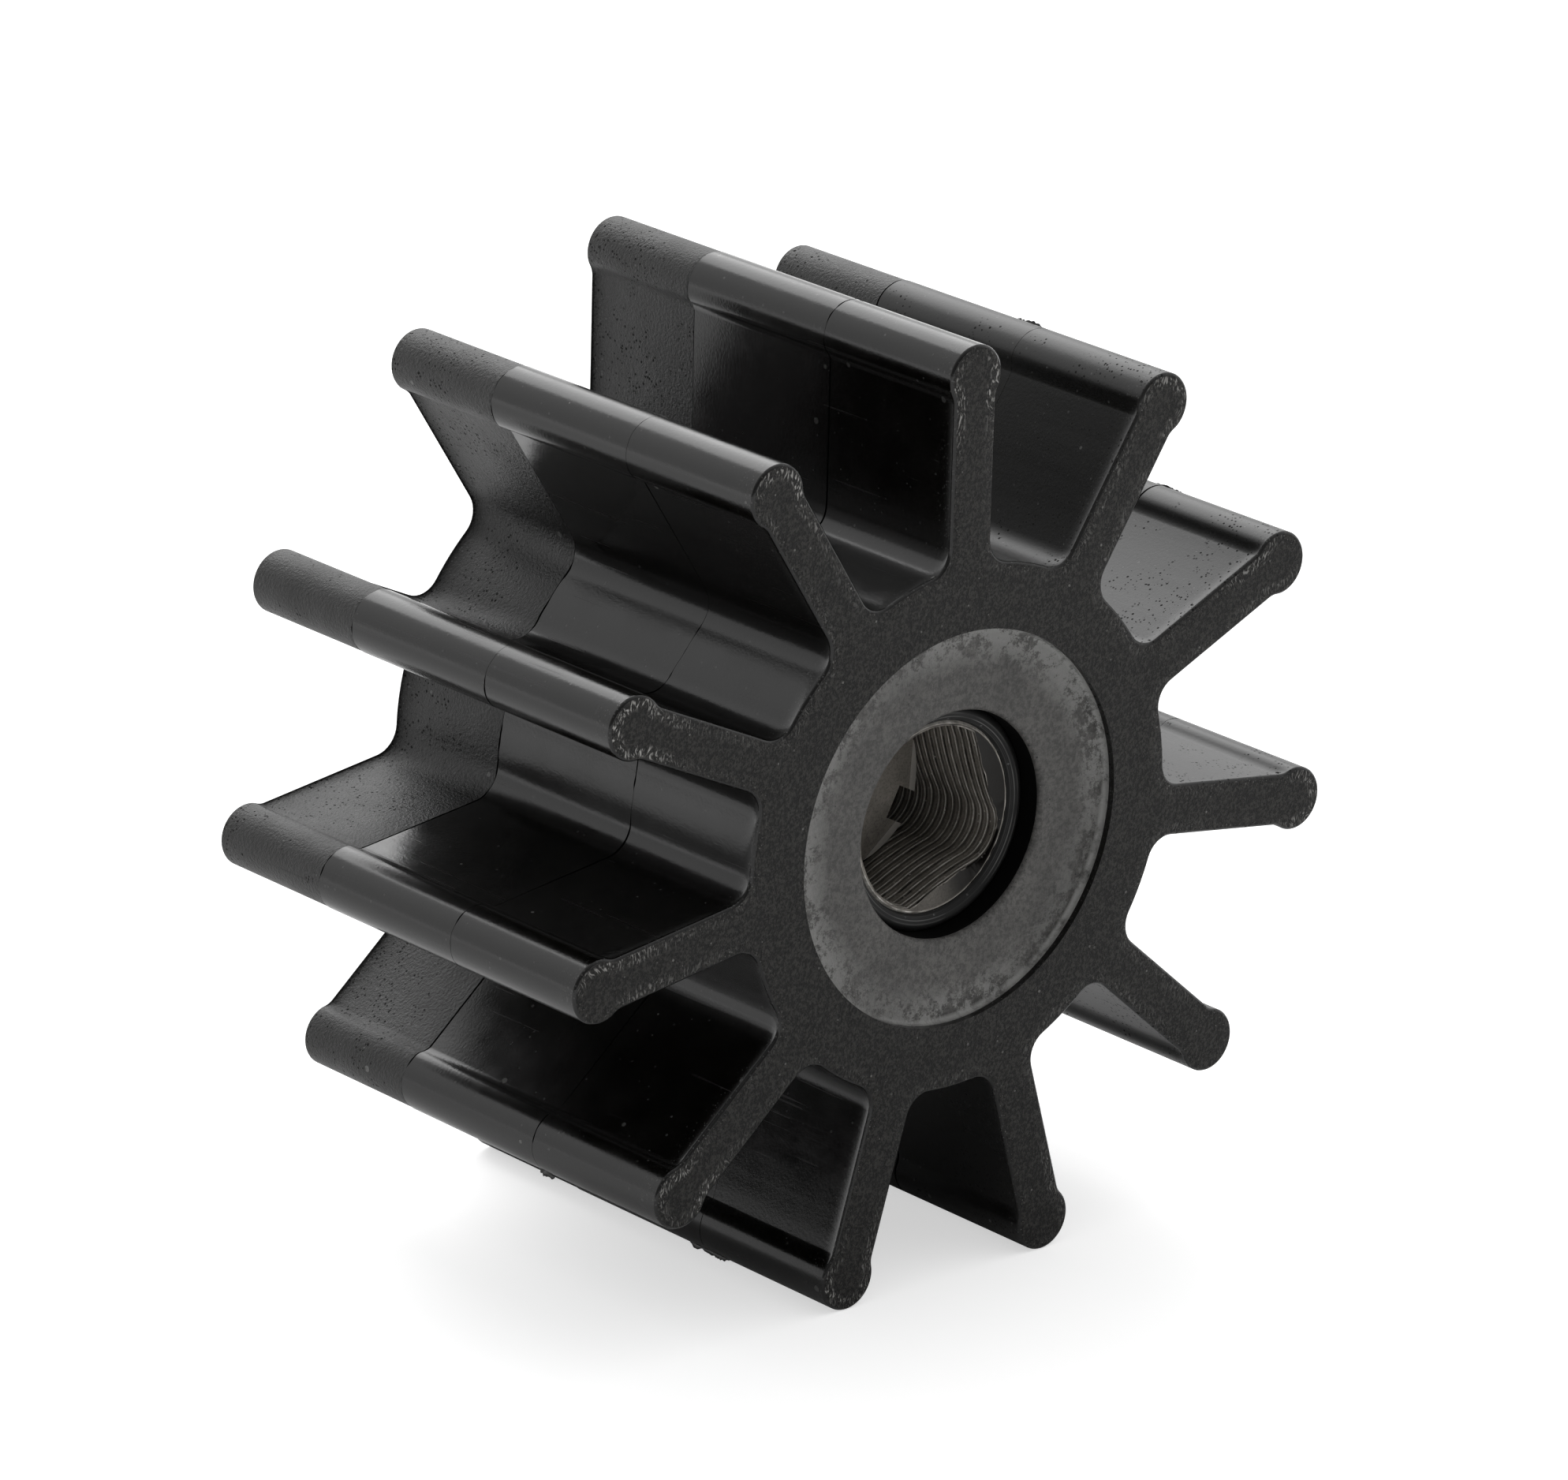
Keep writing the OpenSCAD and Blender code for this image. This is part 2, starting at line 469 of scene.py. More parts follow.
class MaterialTree(NodeTree):
    """Node helper of one new material, with the Object coordinate and the shared patterns."""

    def __init__(self, name: str, groups: PatternGroups | None = None) -> None:
        """Makes an empty material.

        Args:
            name: Name of the material.
            groups: Shared patterns, or None where the material needs none.
        """
        self.material = bpy.data.materials.new(name)
        self.material.use_nodes = True
        super().__init__(self.material.node_tree)
        self.groups = groups
        self.place = self.add("ShaderNodeTexCoord").outputs["Object"]

    def pattern(self, name: str, **numbers: float) -> Socket:
        """Places a shared group, sets its number inputs and returns its output."""
        inputs = {"Vector": self.place, **numbers}
        return self.add("ShaderNodeGroup", inputs, node_tree=self.groups.made[name]).outputs[0]

    def axes(self) -> Sockets:
        """Adds a node that splits the Object coordinate, and returns its X, Y and Z."""
        return self.add("ShaderNodeSeparateXYZ", {0: self.place}).outputs

    def axis_distance(self) -> Socket:
        """Adds nodes that give a point's distance from the impeller's axis."""
        return self.length(self.stretch(self.place, (1.0, 0.0, 1.0)))

    def finish(self, inputs: dict) -> bpy.types.Material:
        """Adds the Principled shader with the given inputs, and returns the material."""
        shader = self.add("ShaderNodeBsdfPrincipled", inputs)
        self.add("ShaderNodeOutputMaterial", {"Surface": shader.outputs[0]})
        return self.material


@dataclass(frozen=True)
class MouldedRubber:
    """Black rubber as it leaves the mould: sides of the blades, beads and hub."""

    name: str
    roughness: float
    grain: float
    streaks: float
    pitted: float
    worn_roughness: float = 0.36
    sheen: float = 0.48
    dark: tuple = (0.0007, 0.0006, 0.0004, 1.0)
    light: tuple = (0.0026, 0.0023, 0.0017, 1.0)
    mark: tuple = (0.06, 0.06, 0.06, 1.0)
    chalk: tuple = (0.16, 0.16, 0.155, 1.0)
    polish_end: float = 2.0 * MM
    polish_fade: float = 5.0 * MM
    crowd_from: float = 8.5 * MM
    crowd: float = 0.16
    edge_from: float = 13.9 * MM
    edge_to: float = 15.7 * MM
    wave_height: float = 0.022 * MM
    wave_stretch: tuple = (1.0, 0.12, 1.0)
    grain_height: float = 0.022 * MM

    def build(self, groups: PatternGroups) -> bpy.types.Material:
        """Builds the material.

        Args:
            groups: Shared patterns.

        Returns:
            The material.
        """
        tree = MaterialTree(self.name, groups)
        axes = tree.axes()
        from_middle = tree.math("ABSOLUTE", axes["Y"])
        worn = tree.remap(axes["X"], self.polish_end, self.polish_end + self.polish_fade)
        edge = tree.remap(from_middle, self.edge_from, self.edge_to)
        patches = tree.pattern("mottle", Scale=380.0, Contrast=1.8)
        smears = tree.pattern("mottle", Scale=95.0, Contrast=2.4)
        dust = tree.pattern("speckle", Scale=3400.0, Amount=0.10)
        lint = tree.pattern("speckle", Scale=1500.0, Amount=0.03)
        lines = tree.pattern("scratches", Across=3200.0, Along=70.0, Amount=self.streaks)
        frayed = tree.pattern("pocks", Scale=5600.0, Amount=0.75)
        colour = tree.mix(patches, self.dark, self.light)
        colour = tree.coat(colour, self.mark, lines, 0.10)
        colour = tree.coat(colour, self.mark, dust, 0.9)
        colour = tree.coat(colour, self.chalk, lint, 0.7)
        colour = tree.coat(colour, self.chalk, frayed, edge, 0.6)
        rough = tree.times_add(patches, 0.09, self.roughness)
        rough = tree.times_add(smears, 0.08, rough)
        rough = tree.times_add(lines, 0.15, rough)
        gap = tree.math("MAXIMUM", tree.math("SUBTRACT", self.worn_roughness, rough), 0.0)
        rough = tree.times_add(gap, worn, rough)
        pits = self._dull_pits(tree, worn, from_middle)
        return tree.finish({"Base Color": colour, "Roughness": tree.math("MAXIMUM", rough, pits),
                            "Specular IOR Level": self.sheen, "Normal": self._relief(tree)})

    def _dull_pits(self, tree: MaterialTree, worn: Socket, from_middle: Socket) -> Socket:
        """Draws small dull pits in clusters that crowd towards the two ends.

        Args:
            tree: Material's tree.
            worn: 1 on the worn blades and 0 on the polished ones.
            from_middle: Distance from the hub's middle, along the axis.

        Returns:
            The pits' mask.
        """
        near = tree.remap(from_middle, self.crowd_from, self.edge_to, 0.0, self.crowd)
        crowded = tree.math("ADD", tree.noise(tree.place, 300.0, 3.0, 0.6), near)
        pocks = tree.pattern("pocks", Scale=4000.0, Amount=0.9)
        return tree.times(tree.remap(pocks, 0.0, 0.3), tree.remap(crowded, 0.50, 0.62, 0.08, 1.0),
                          tree.math("MAXIMUM", worn, self.pitted))

    def _relief(self, tree: MaterialTree) -> Socket:
        """Draws the skin's relief: slow waves along the axis, and the grain.

        Args:
            tree: Material's tree.

        Returns:
            The normal.
        """
        swell = tree.noise(tree.stretch(tree.place, self.wave_stretch), 520.0, 2.0)
        grain = tree.pattern("pits", Scale=5200.0, Depth=self.grain)
        waves = tree.bump(swell, self.wave_height)
        return tree.bump(grain, self.grain_height, under=waves)


@dataclass(frozen=True)
class GroundRubber:
    """Rubber cut and ground flat at the two ends: a matt fine grain, scuffed pale at the edge."""

    dark: tuple = (0.001, 0.001, 0.001, 1.0)
    light: tuple = (0.0355, 0.0340, 0.0310, 1.0)
    chalk: tuple = (0.50, 0.49, 0.47, 1.0)
    roughness: float = 0.6
    sheen: float = 0.3
    grain_height: float = 0.13 * MM
    stroke_bend: tuple = (1.1 * MM, 0.0, 1.1 * MM)
    stroke_scale: tuple = (8200.0, 1.0, 2300.0)
    scuffs_from: float = 21.5 * MM
    scuffs_to: float = 26.0 * MM

    def _scuffs(self, tree: MaterialTree, rim: Socket) -> Socket:
        """Draws short pale strokes along the edge, thick in some places and absent in others.

        Args:
            tree: Material's tree.
            rim: 1 at the edge, falling to 0 at the inner side of the strip.

        Returns:
            The scuffs' mask.
        """
        warp = tree.add("ShaderNodeTexNoise", {"Vector": tree.place, "Scale": 900.0, "Detail": 1.0})
        bends = {0: warp.outputs["Color"], 1: self.stroke_bend, 2: tree.place}
        bent = tree.add("ShaderNodeVectorMath", bends, operation="MULTIPLY_ADD").outputs[0]
        drawn = tree.noise(tree.stretch(bent, self.stroke_scale), 1.0, 1.5, 0.6)
        strokes = tree.remap(drawn, 0.54, 0.64)
        strip = tree.times(tree.remap(rim, 0.0, 0.4), tree.remap(rim, 1.0, 0.9, 0.3, 1.0))
        where = tree.remap(tree.noise(tree.place, 130.0, 2.0), 0.40, 0.60)
        out = tree.remap(tree.axis_distance(), self.scuffs_from, self.scuffs_to, 0.16, 1.0)
        return tree.times(strokes, strip, where, out)

    def build(self, groups: PatternGroups) -> bpy.types.Material:
        """Builds the material.

        Args:
            groups: Shared patterns.

        Returns:
            The material.
        """
        tree = MaterialTree("ground_rubber", groups)
        patches = tree.pattern("mottle", Scale=700.0, Contrast=1.8)
        grain = tree.pattern("pits", Scale=5000.0, Depth=1.0)
        dust = tree.pattern("speckle", Scale=2600.0, Amount=0.10)
        fine = tree.pattern("speckle", Scale=6500.0, Amount=0.35)
        rim = tree.attribute("rim")
        colour = tree.mix(tree.remap(grain, 0.46, 0.60), self.dark, self.light)
        colour = tree.coat(colour, self.light, patches, 0.22)
        colour = tree.coat(colour, self.chalk, dust, 0.35)
        colour = tree.coat(colour, self.chalk, fine, rim, 0.35)
        colour = tree.coat(colour, self.chalk, self._scuffs(tree, rim))
        return tree.finish({"Base Color": colour, "Roughness": self.roughness,
                            "Specular IOR Level": self.sheen,
                            "Normal": tree.bump(grain, self.grain_height)})


@dataclass(frozen=True)
class PaintedShade:
    """Matt black painted shade, down in the mould seams and on the wall of the sleeve's mouth."""

    name: str
    dark: tuple = (0.0002, 0.0002, 0.0002, 1.0)
    light: tuple = (0.0020, 0.0019, 0.0018, 1.0)
    roughness: float = 0.9
    sheen: float = 0.08

    def build(self, groups: PatternGroups) -> bpy.types.Material:
        """Builds the material.

        Args:
            groups: Shared patterns.

        Returns:
            The material.
        """
        tree = MaterialTree(self.name, groups)
        patches = tree.pattern("mottle", Scale=2400.0, Contrast=2.0)
        return tree.finish({"Base Color": tree.mix(patches, self.dark, self.light),
                            "Roughness": self.roughness, "Specular IOR Level": self.sheen})


@dataclass(frozen=True)
class SleeveGrey:
    """Mottled mid-grey of the hub sleeve, with dark pores, a pale worn rim and a painted highlight
    along the edge.
    """

    dark: tuple = (0.077, 0.0745, 0.0705, 1.0)
    light: tuple = (0.133, 0.1285, 0.1215, 1.0)
    worn: tuple = (0.31, 0.31, 0.30, 1.0)
    # Colour of the painted highlight along the rim.
    line: tuple = (0.32, 0.32, 0.31, 1.0)
    pore: tuple = (0.006, 0.006, 0.006, 1.0)
    roughness: float = 0.55
    grain_height: float = 0.08 * MM
    rim_inner: float = 9.2 * MM
    rim_outer: float = 11.6 * MM
    # Width of the painted highlight at the rim, and the span over which it strengthens towards the
    # lower right.
    line_width: float = 0.2 * MM
    line_from: float = 4.0 * MM
    line_to: float = 14.0 * MM

    def build(self, groups: PatternGroups) -> bpy.types.Material:
        """Builds the material.

        Args:
            groups: Shared patterns.

        Returns:
            The material.
        """
        tree = MaterialTree("sleeve_grey", groups)
        radius = tree.axis_distance()
        patches = tree.pattern("mottle", Scale=240.0, Contrast=2.4)
        grain = tree.pattern("pits", Scale=3800.0, Depth=1.0)
        dust = tree.pattern("speckle", Scale=4200.0, Amount=0.16)
        pores = tree.pattern("speckle", Scale=3600.0, Amount=0.30)
        rim = tree.remap(radius, self.rim_inner, self.rim_outer)
        blotch = tree.remap(tree.noise(tree.place, 760.0, 6.0, 0.85), 0.46, 0.52)
        side = tree.remap(tree.noise(tree.place, 70.0, 1.0), 0.38, 0.52, 0.45, 1.0)
        colour = tree.mix(patches, self.dark, self.light)
        colour = tree.coat(colour, self.pore, tree.remap(grain, 0.40, 0.60, 0.55, 0.0))
        colour = tree.coat(colour, self.pore, pores, 0.85)
        colour = tree.coat(colour, self.worn, rim, blotch, side)
        colour = tree.coat(colour, self.worn, dust, 0.6)
        # Painted highlight along the rim's edge.
        colour = tree.coat(colour, self.line, self._painted_highlight_edge(tree, radius))
        return tree.finish({"Base Color": colour, "Roughness": self.roughness,
                            "Normal": tree.bump(grain, self.grain_height, 0.9)})

    def _painted_highlight_edge(self, tree: MaterialTree, radius: Socket) -> Socket:
        """Draws a broken painted highlight along the rim, strongest at the lower right.

        Args:
            tree: Material's tree.
            radius: Distance from the axis.

        Returns:
            The painted highlight's mask.
        """
        axes = tree.axes()
        lower_right = tree.math("SUBTRACT", axes["X"], axes["Z"])
        lean = tree.remap(lower_right, self.line_from, self.line_to, 0.3, 1.0)
        broken = tree.remap(tree.noise(tree.place, 900.0, 4.0, 0.7), 0.36, 0.56, 0.15, 1.0)
        strip = tree.remap(radius, self.rim_outer - self.line_width, self.rim_outer)
        return tree.times(strip, lean, broken)


@dataclass(frozen=True)
class DriveMetal:
    """Dull brown-grey metal of the drive bush, with a painted highlight on the crests and facets
    and painted shade down in the grooves.
    """

    # groove is the colour of the painted shade in the grooves, also of the dark grain specks; crest
    # is the colour of the painted highlight on crests and facets, also of the pale dust.
    groove: tuple = (0.010, 0.0085, 0.007, 1.0)
    dark: tuple = (0.125, 0.114, 0.099, 1.0)
    light: tuple = (0.290, 0.268, 0.234, 1.0)
    crest: tuple = (0.95, 0.92, 0.86, 1.0)
    roughness: float = 0.36
    metallic: float = 0.2
    sheen: float = 0.35
    grain_height: float = 0.03 * MM

    def build(self, groups: PatternGroups) -> bpy.types.Material:
        """Builds the material.

        Args:
            groups: Shared patterns.

        Returns:
            The material.
        """
        tree = MaterialTree("drive_metal", groups)
        patches = tree.pattern("mottle", Scale=520.0, Contrast=1.9)
        grain = tree.pattern("pits", Scale=7000.0, Depth=1.0)
        dust = tree.pattern("speckle", Scale=4200.0, Amount=0.14)
        # The ridge attribute carries painted light: 0 for shade down in the grooves, 1 for
        # highlight on the crests.
        level = tree.attribute("ridge")
        broken = tree.remap(tree.noise(tree.place, 1500.0, 3.0, 0.7), 0.36, 0.54, 0.30, 1.0)
        crest = tree.times(tree.remap(level, 0.62, 0.88), broken)
        colour = tree.mix(patches, self.dark, self.light)
        colour = tree.coat(colour, self.groove, tree.remap(grain, 0.55, 0.30, 0.0, 0.45))
        # Painted shade in the grooves, painted highlight on the crests and on the core's facets.
        colour = tree.coat(colour, self.groove, tree.remap(level, 0.49, 0.22))
        colour = tree.coat(colour, self.crest, crest)
        colour = tree.coat(colour, self.crest, tree.attribute("facet"), 0.5)
        colour = tree.coat(colour, self.crest, dust, 0.5)
        rough = tree.times_add(crest, -0.12, tree.times_add(grain, 0.2, self.roughness))
        return tree.finish({"Base Color": colour, "Metallic": self.metallic, "Roughness": rough,
                            "Specular IOR Level": self.sheen,
                            "Normal": tree.bump(grain, self.grain_height, 0.4)})


@dataclass(frozen=True)
class SealRubber:
    """Near-black rubber of the sealing rings, with faint pale lines that run round them."""

    dark: tuple = (0.0020, 0.0020, 0.0021, 1.0)
    light: tuple = (0.0120, 0.0120, 0.0120, 1.0)
    line: tuple = (0.14, 0.14, 0.135, 1.0)
    chalk: tuple = (0.2, 0.2, 0.2, 1.0)
    roughness: float = 0.54
    sheen: float = 0.35

    def build(self, groups: PatternGroups) -> bpy.types.Material:
        """Builds the material.

        Args:
            groups: Shared patterns.

        Returns:
            The material.
        """
        tree = MaterialTree("seal_rubber", groups)
        inputs = {"X": tree.axis_distance(), "Y": tree.axes()["Y"]}
        section = tree.add("ShaderNodeCombineXYZ", inputs).outputs[0]
        patches = tree.pattern("mottle", Scale=800.0, Contrast=1.8)
        dust = tree.pattern("speckle", Scale=3600.0, Amount=0.10)
        lines = tree.remap(tree.noise(section, 9000.0, 2.0, 0.6), 0.52, 0.68)
        broken = tree.remap(tree.noise(tree.place, 420.0, 2.0), 0.38, 0.60, 0.08, 0.8)
        colour = tree.mix(patches, self.dark, self.light)
        colour = tree.coat(colour, self.line, lines, broken)
        colour = tree.coat(colour, self.chalk, dust, 0.5)
        return tree.finish({"Base Color": colour, "Specular IOR Level": self.sheen,
                            "Roughness": tree.times_add(patches, 0.15, self.roughness)})


@dataclass(frozen=True)
class MouldSeam:
    """Line left where two parts of the mould met: a groove that wanders and comes and goes."""

    place: float
    seed: float
    wander: float = 0.12 * MM
    half_width: float = 0.07 * MM
    depth: float = 0.13 * MM
    hold: float = 0.32 * MM

    def rings(self) -> list[float]:
        """Returns the places along the axis of the rings of vertices that carry the groove."""
        inner = 0.4 * self.half_width
        offsets = (-self.hold, -self.half_width, -inner, 0.0, inner, self.half_width, self.hold)
        return [self.place + offset for offset in offsets]

    def open_at(self, point: Vector) -> float:
        """Returns how far the seam gapes at a place round the outline, up to 1."""
        spot = Vector((point.x, self.seed + 0.01, point.z))
        return 0.18 + 0.82 * smooth_step(-0.25, 0.35, rough_at(spot, 420.0, 1500.0, 0.5))

    def shift_at(self, point: Vector) -> float:
        """Returns how far a vertex of the groove moves along the axis to wander and to close up."""
        if abs(point.y - self.place) > self.half_width * 1.01:
            return 0.0
        spot = Vector((point.x, self.seed, point.z))
        wander = self.wander * rough_at(spot, 320.0, 1100.0, 0.5)
        return wander + (self.open_at(point) - 1.0) * (point.y - self.place)

    def depth_at(self, point: Vector) -> float:
        """Returns the groove's depth at a vertex."""
        across = abs(point.y - self.place) / self.half_width
        if across > 1.0:
            return 0.0
        return self.depth * self.open_at(point) * (1.0 - smooth_step(0.35, 1.0, across))

    def holds(self, y: float) -> bool:
        """Says whether a place along the axis lies in the groove."""
        return abs(y - self.place) < self.half_width


@dataclass(frozen=True)
class FlashTab:
    """A ragged bit of rubber flash left standing along a blade's bead."""

    blade: int
    turn: float
    start: float
    end: float
    height: float
    thickness: float = 0.05 * MM
    lean: float = 0.05 * MM
    foot: float = 0.08 * MM
    step: float = 0.11 * MM
    fewest_steps: int = 6

    def _lift_at(self, y: float, from_end: float) -> float:
        """Returns how high the tab's ragged edge stands above the bead.

        Args:
            y: Place along the axis.
            from_end: Distance from the tab's nearer end, as a share of its length.

        Returns:
            The height.
        """
        ragged = 0.5 + 0.5 * noise.noise(Vector((y * 2600.0, self.blade * 3.7, 0.5)))
        ragged += 0.5 * noise.noise(Vector((y * 9000.0, self.blade, 9.0)))
        return self.height * smooth_step(0.0, 0.15, from_end) * max(0.1, ragged)

    def add_to(self, bm: BMesh, body: RubberBody) -> None:
        """Adds the tab to the rubber's mesh, its foot sunk in the bead.

        Args:
            bm: Mesh of the rubber body, before it is stored.
            body: Rubber body that the tab stands on.
        """
        steps = max(self.fewest_steps, int((self.end - self.start) / self.step))
        made = bmesh.ops.create_grid(bm, x_segments=steps, y_segments=1, size=0.5)
        to_bead = Matrix.Translation((0.0, 0.0, body.bead_z)) @ Matrix.Rotation(self.turn, 4, "Y")
        turn = Matrix.Rotation(self.blade * 2 * math.pi / body.blade_count, 4, "Y") @ to_bead
        for vert in made["verts"]:
            y = self.start + (vert.co.x + 0.5) * (self.end - self.start)
            lift = self._lift_at(y, 0.5 - abs(vert.co.x)) if vert.co.y > 0 else -self.foot
            lean = self.lean * noise.noise(Vector((y * 1800.0, 2.0, self.blade * 1.3)))
            vert.co = turn @ Vector((lean, y, body.bead_r + lift))
        faces = list({f for v in made["verts"] for f in v.link_faces})
        bmesh.ops.solidify(bm, geom=faces, thickness=self.thickness)


@dataclass
class RubberBody:
    """The moulded rubber body: hub and beaded blades, cut flat at both ends."""

    blade_count: int = 11
    tip_r: float = 28.575 * MM
    hub_r: float = 15.7 * MM
    blade_t: float = 3.17 * MM
    bead_r: float = 1.905 * MM
    neck_r: float = 1.2 * MM
    root_r: float = 1.5 * MM
    lip_depth: float = 0.3 * MM
    lip_reach: float = 1.0 * MM
    lip_land: float = 0.16 * MM
    edge_round: float = 0.15 * MM
    front_seam: MouldSeam = MouldSeam(-5.1 * MM, 0.3)
    rear_seam: MouldSeam = MouldSeam(6.7 * MM, 0.7)
    bead_step: float = 0.03 * MM
    front_draft: float = math.radians(0.3)
    rear_draft: float = math.radians(0.8)
    rim_width: float = 0.8 * MM
    hub_steps: int = 8
    root_steps: int = 8
    neck_steps: int = 5
    bead_steps: int = 20
    bore_steps: int = 160
    edge_rings: tuple = (0.12, 0.3, 0.55, 1.0)
    lip_rings: tuple = (0.0, 0.02, 0.07, 0.16, 0.3, 0.5, 0.75, 1.0, 1.3)
    flash: tuple = (
        FlashTab(0, 0.49, -5.3 * MM, -4.3 * MM, 0.18 * MM),
        FlashTab(1, -0.08, -4.6 * MM, -2.4 * MM, 0.22 * MM),
        FlashTab(2, -0.65, -6.6 * MM, -4.2 * MM, 0.16 * MM),
        FlashTab(6, 0.20, -6.6 * MM, -3.1 * MM, 0.24 * MM),
        FlashTab(6, 0.20, 9.2 * MM, 10.4 * MM, 0.20 * MM),
        FlashTab(7, -0.37, -5.7 * MM, -4.6 * MM, 0.24 * MM),
        FlashTab(9, 1.63, 4.0 * MM, 5.2 * MM, 0.15 * MM),
        FlashTab(10, 1.06, -5.5 * MM, -4.3 * MM, 0.14 * MM),
    )

    @property
    def bead_z(self) -> float:
        """Distance of a bead's centre from the axis."""
        return self.tip_r - self.bead_r

    def _outline(self, bm: BMesh) -> None:
        """Draws the closed outline of the hub and all blades in the front plane."""
        y = -HUB.face_y
        root = Vector((self.blade_t / 2 + self.root_r, y, 0.0))
        root.z = math.sqrt((self.hub_r + self.root_r) ** 2 - root.x ** 2)
        neck = Vector((self.blade_t / 2 + self.neck_r, y, 0.0))
        neck.z = self.bead_z - math.sqrt((self.bead_r + self.neck_r) ** 2 - neck.x ** 2)
        half_pitch = math.pi / self.blade_count
        quarter = math.pi / 2
        start = bm.verts.new(polar(self.hub_r, half_pitch, y))
        end = arc_to(bm, start, ORIGIN, bearing(root.x, root.z) - half_pitch, self.hub_steps)
        end = arc_to(bm, end, root, -quarter - bearing(-root.x, -root.z), self.root_steps)
        end = line_to(bm, end, Vector((self.blade_t / 2, y, neck.z)))
        to_bead = bearing(-neck.x, self.bead_z - neck.z)
        end = arc_to(bm, end, neck, to_bead + quarter, self.neck_steps)
        bead = Vector((0.0, y, self.bead_z))
        arc_to(bm, end, bead, -bearing(neck.x, neck.z - self.bead_z), self.bead_steps)
        bmesh.ops.mirror(bm, geom=bm.verts[:] + bm.edges[:], matrix=Matrix.Identity(4),
                         merge_dist=TOUCH, axis="X")
        turn = 2 * math.pi * (self.blade_count - 1) / self.blade_count
        bmesh.ops.spin(bm, geom=bm.verts[:] + bm.edges[:], cent=ORIGIN, axis=AXIS, angle=turn,
                       steps=self.blade_count - 1, use_duplicate=True)
        bmesh.ops.remove_doubles(bm, verts=bm.verts[:], dist=JOIN)

    def _inset_at(self, point: Vector) -> float:
        """Works out the moulded side: edge rounding, lip, draft, step and seams.

        Args:
            point: Place of a vertex of the side.

        Returns:
            How far the side lies inside the cut outline there.
        """
        from_end = HUB.face_y - abs(point.y)
        rounding = self.edge_round * (1.0 - min(1.0, from_end / self.edge_round)) ** 2
        lip_share = min(1.0, max(0.0, from_end - self.lip_land) / self.lip_reach)
        lip = self.lip_depth * math.sqrt(1.0 - (1.0 - lip_share) ** 2)
        draft = math.tan(self.front_draft) * max(0.0, self.front_seam.place - point.y)
        past_rear = point.y - self.rear_seam.place
        draft += math.tan(self.rear_draft) * max(0.0, past_rear)
        bead_from = self.bead_z - self.bead_r * 0.95
        on_bead = smooth_step(bead_from, self.bead_z - self.bead_r * 0.2, hypot_xz(point))
        step = self.bead_step * smooth_step(0.0, 1.0, past_rear / self.rear_seam.half_width)
        seams = max(self.front_seam.depth_at(point), self.rear_seam.depth_at(point))
        return rounding + (lip + draft) * (1.0 - on_bead) + step * on_bead + seams

    def _rings(self) -> list[float]:
        """Returns the places along the axis where the sides get a ring of vertices."""
        places = [self.edge_round * share for share in self.edge_rings]
        places += [self.lip_land + self.lip_reach * share for share in self.lip_rings]
        rings = [side * (HUB.face_y - place) for place in places for side in (-1.0, 1.0)]
        return sorted(rings + self.front_seam.rings() + self.rear_seam.rings())

    def _walls(self, bm: BMesh) -> None:
        """Draws the outline out to the rear end and shapes lip, draft and mould seams."""
        raise_wall(bm, 2 * HUB.face_y)
        tip = max(bm.verts, key=lambda v: v.co.z)
        if tip.normal.z < 0:
            bmesh.ops.reverse_faces(bm, faces=bm.faces[:])
        for place in self._rings():
            cut_ring(bm, place)
        for face in bm.faces:
            y = face.calc_center_median().y
            zone = Zone.SATIN if y > self.rear_seam.place else Zone.GLOSSY
            # Faces down in a seam get the matt black painted shade.
            if self.front_seam.holds(y) or self.rear_seam.holds(y):
                zone = Zone.SEAM
            face.material_index = zone.value
        bm.normal_update()
        moves = []
        for vert in bm.verts:
            shift = self.front_seam.shift_at(vert.co) + self.rear_seam.shift_at(vert.co)
            moves.append((vert, vert.normal * -self._inset_at(vert.co) + AXIS * shift))
        for vert, move in moves:
            vert.co += move

    def _caps(self, bm: BMesh) -> None:
        """Closes both ends with a flat face round the bore, and marks the strip at its edge."""
        rim = bm.verts.layers.float.new("rim")
        for side in (-1.0, 1.0):
            y = side * HUB.face_y
            loop = [e for e in bm.edges
                    if e.is_boundary and all(abs(v.co.y - y) < TOUCH for v in e.verts)]
            inward = {}
            for vert in {v for e in loop for v in e.verts}:
                normal = sum((f.normal for f in vert.link_faces), Vector())
                normal.y = 0.0
                inward[vert] = normal.normalized() * -self.rim_width
                vert[rim] = 1.0
            inner, inner_edges = draw_out(bm, loop)
            for vert in inner:
                base = next(v for e in vert.link_edges for v in e.verts if v in inward)
                vert.co = base.co + inward[base]
                vert[rim] = 0.0
            _, bore = flat_ring(bm, y, HUB.sleeve_r, self.bore_steps)
            bmesh.ops.triangle_fill(bm, use_beauty=True, use_dissolve=False,
                                    edges=inner_edges + bore, normal=AXIS * side)

    def build(self) -> bpy.types.Object:
        """Builds the rubber body.

        Returns:
            The finished piece, its faces numbered by Zone.
        """
        bm = bmesh.new()
        self._outline(bm)
        self._walls(bm)
        self._caps(bm)
        bmesh.ops.bridge_loops(bm, edges=[e for e in bm.edges if e.is_boundary])
        bmesh.ops.recalc_face_normals(bm, faces=bm.faces[:])
        for face in bm.faces:
            at_end = all(abs(abs(vert.co.y) - HUB.face_y) < TOUCH for vert in face.verts)
            if at_end and abs(face.normal.y) > 0.9:
                face.material_index = Zone.GROUND.value
        for tab in self.flash:
            tab.add_to(bm, self)
        return finish_mesh(bm, "rubber_body", math.radians(35))


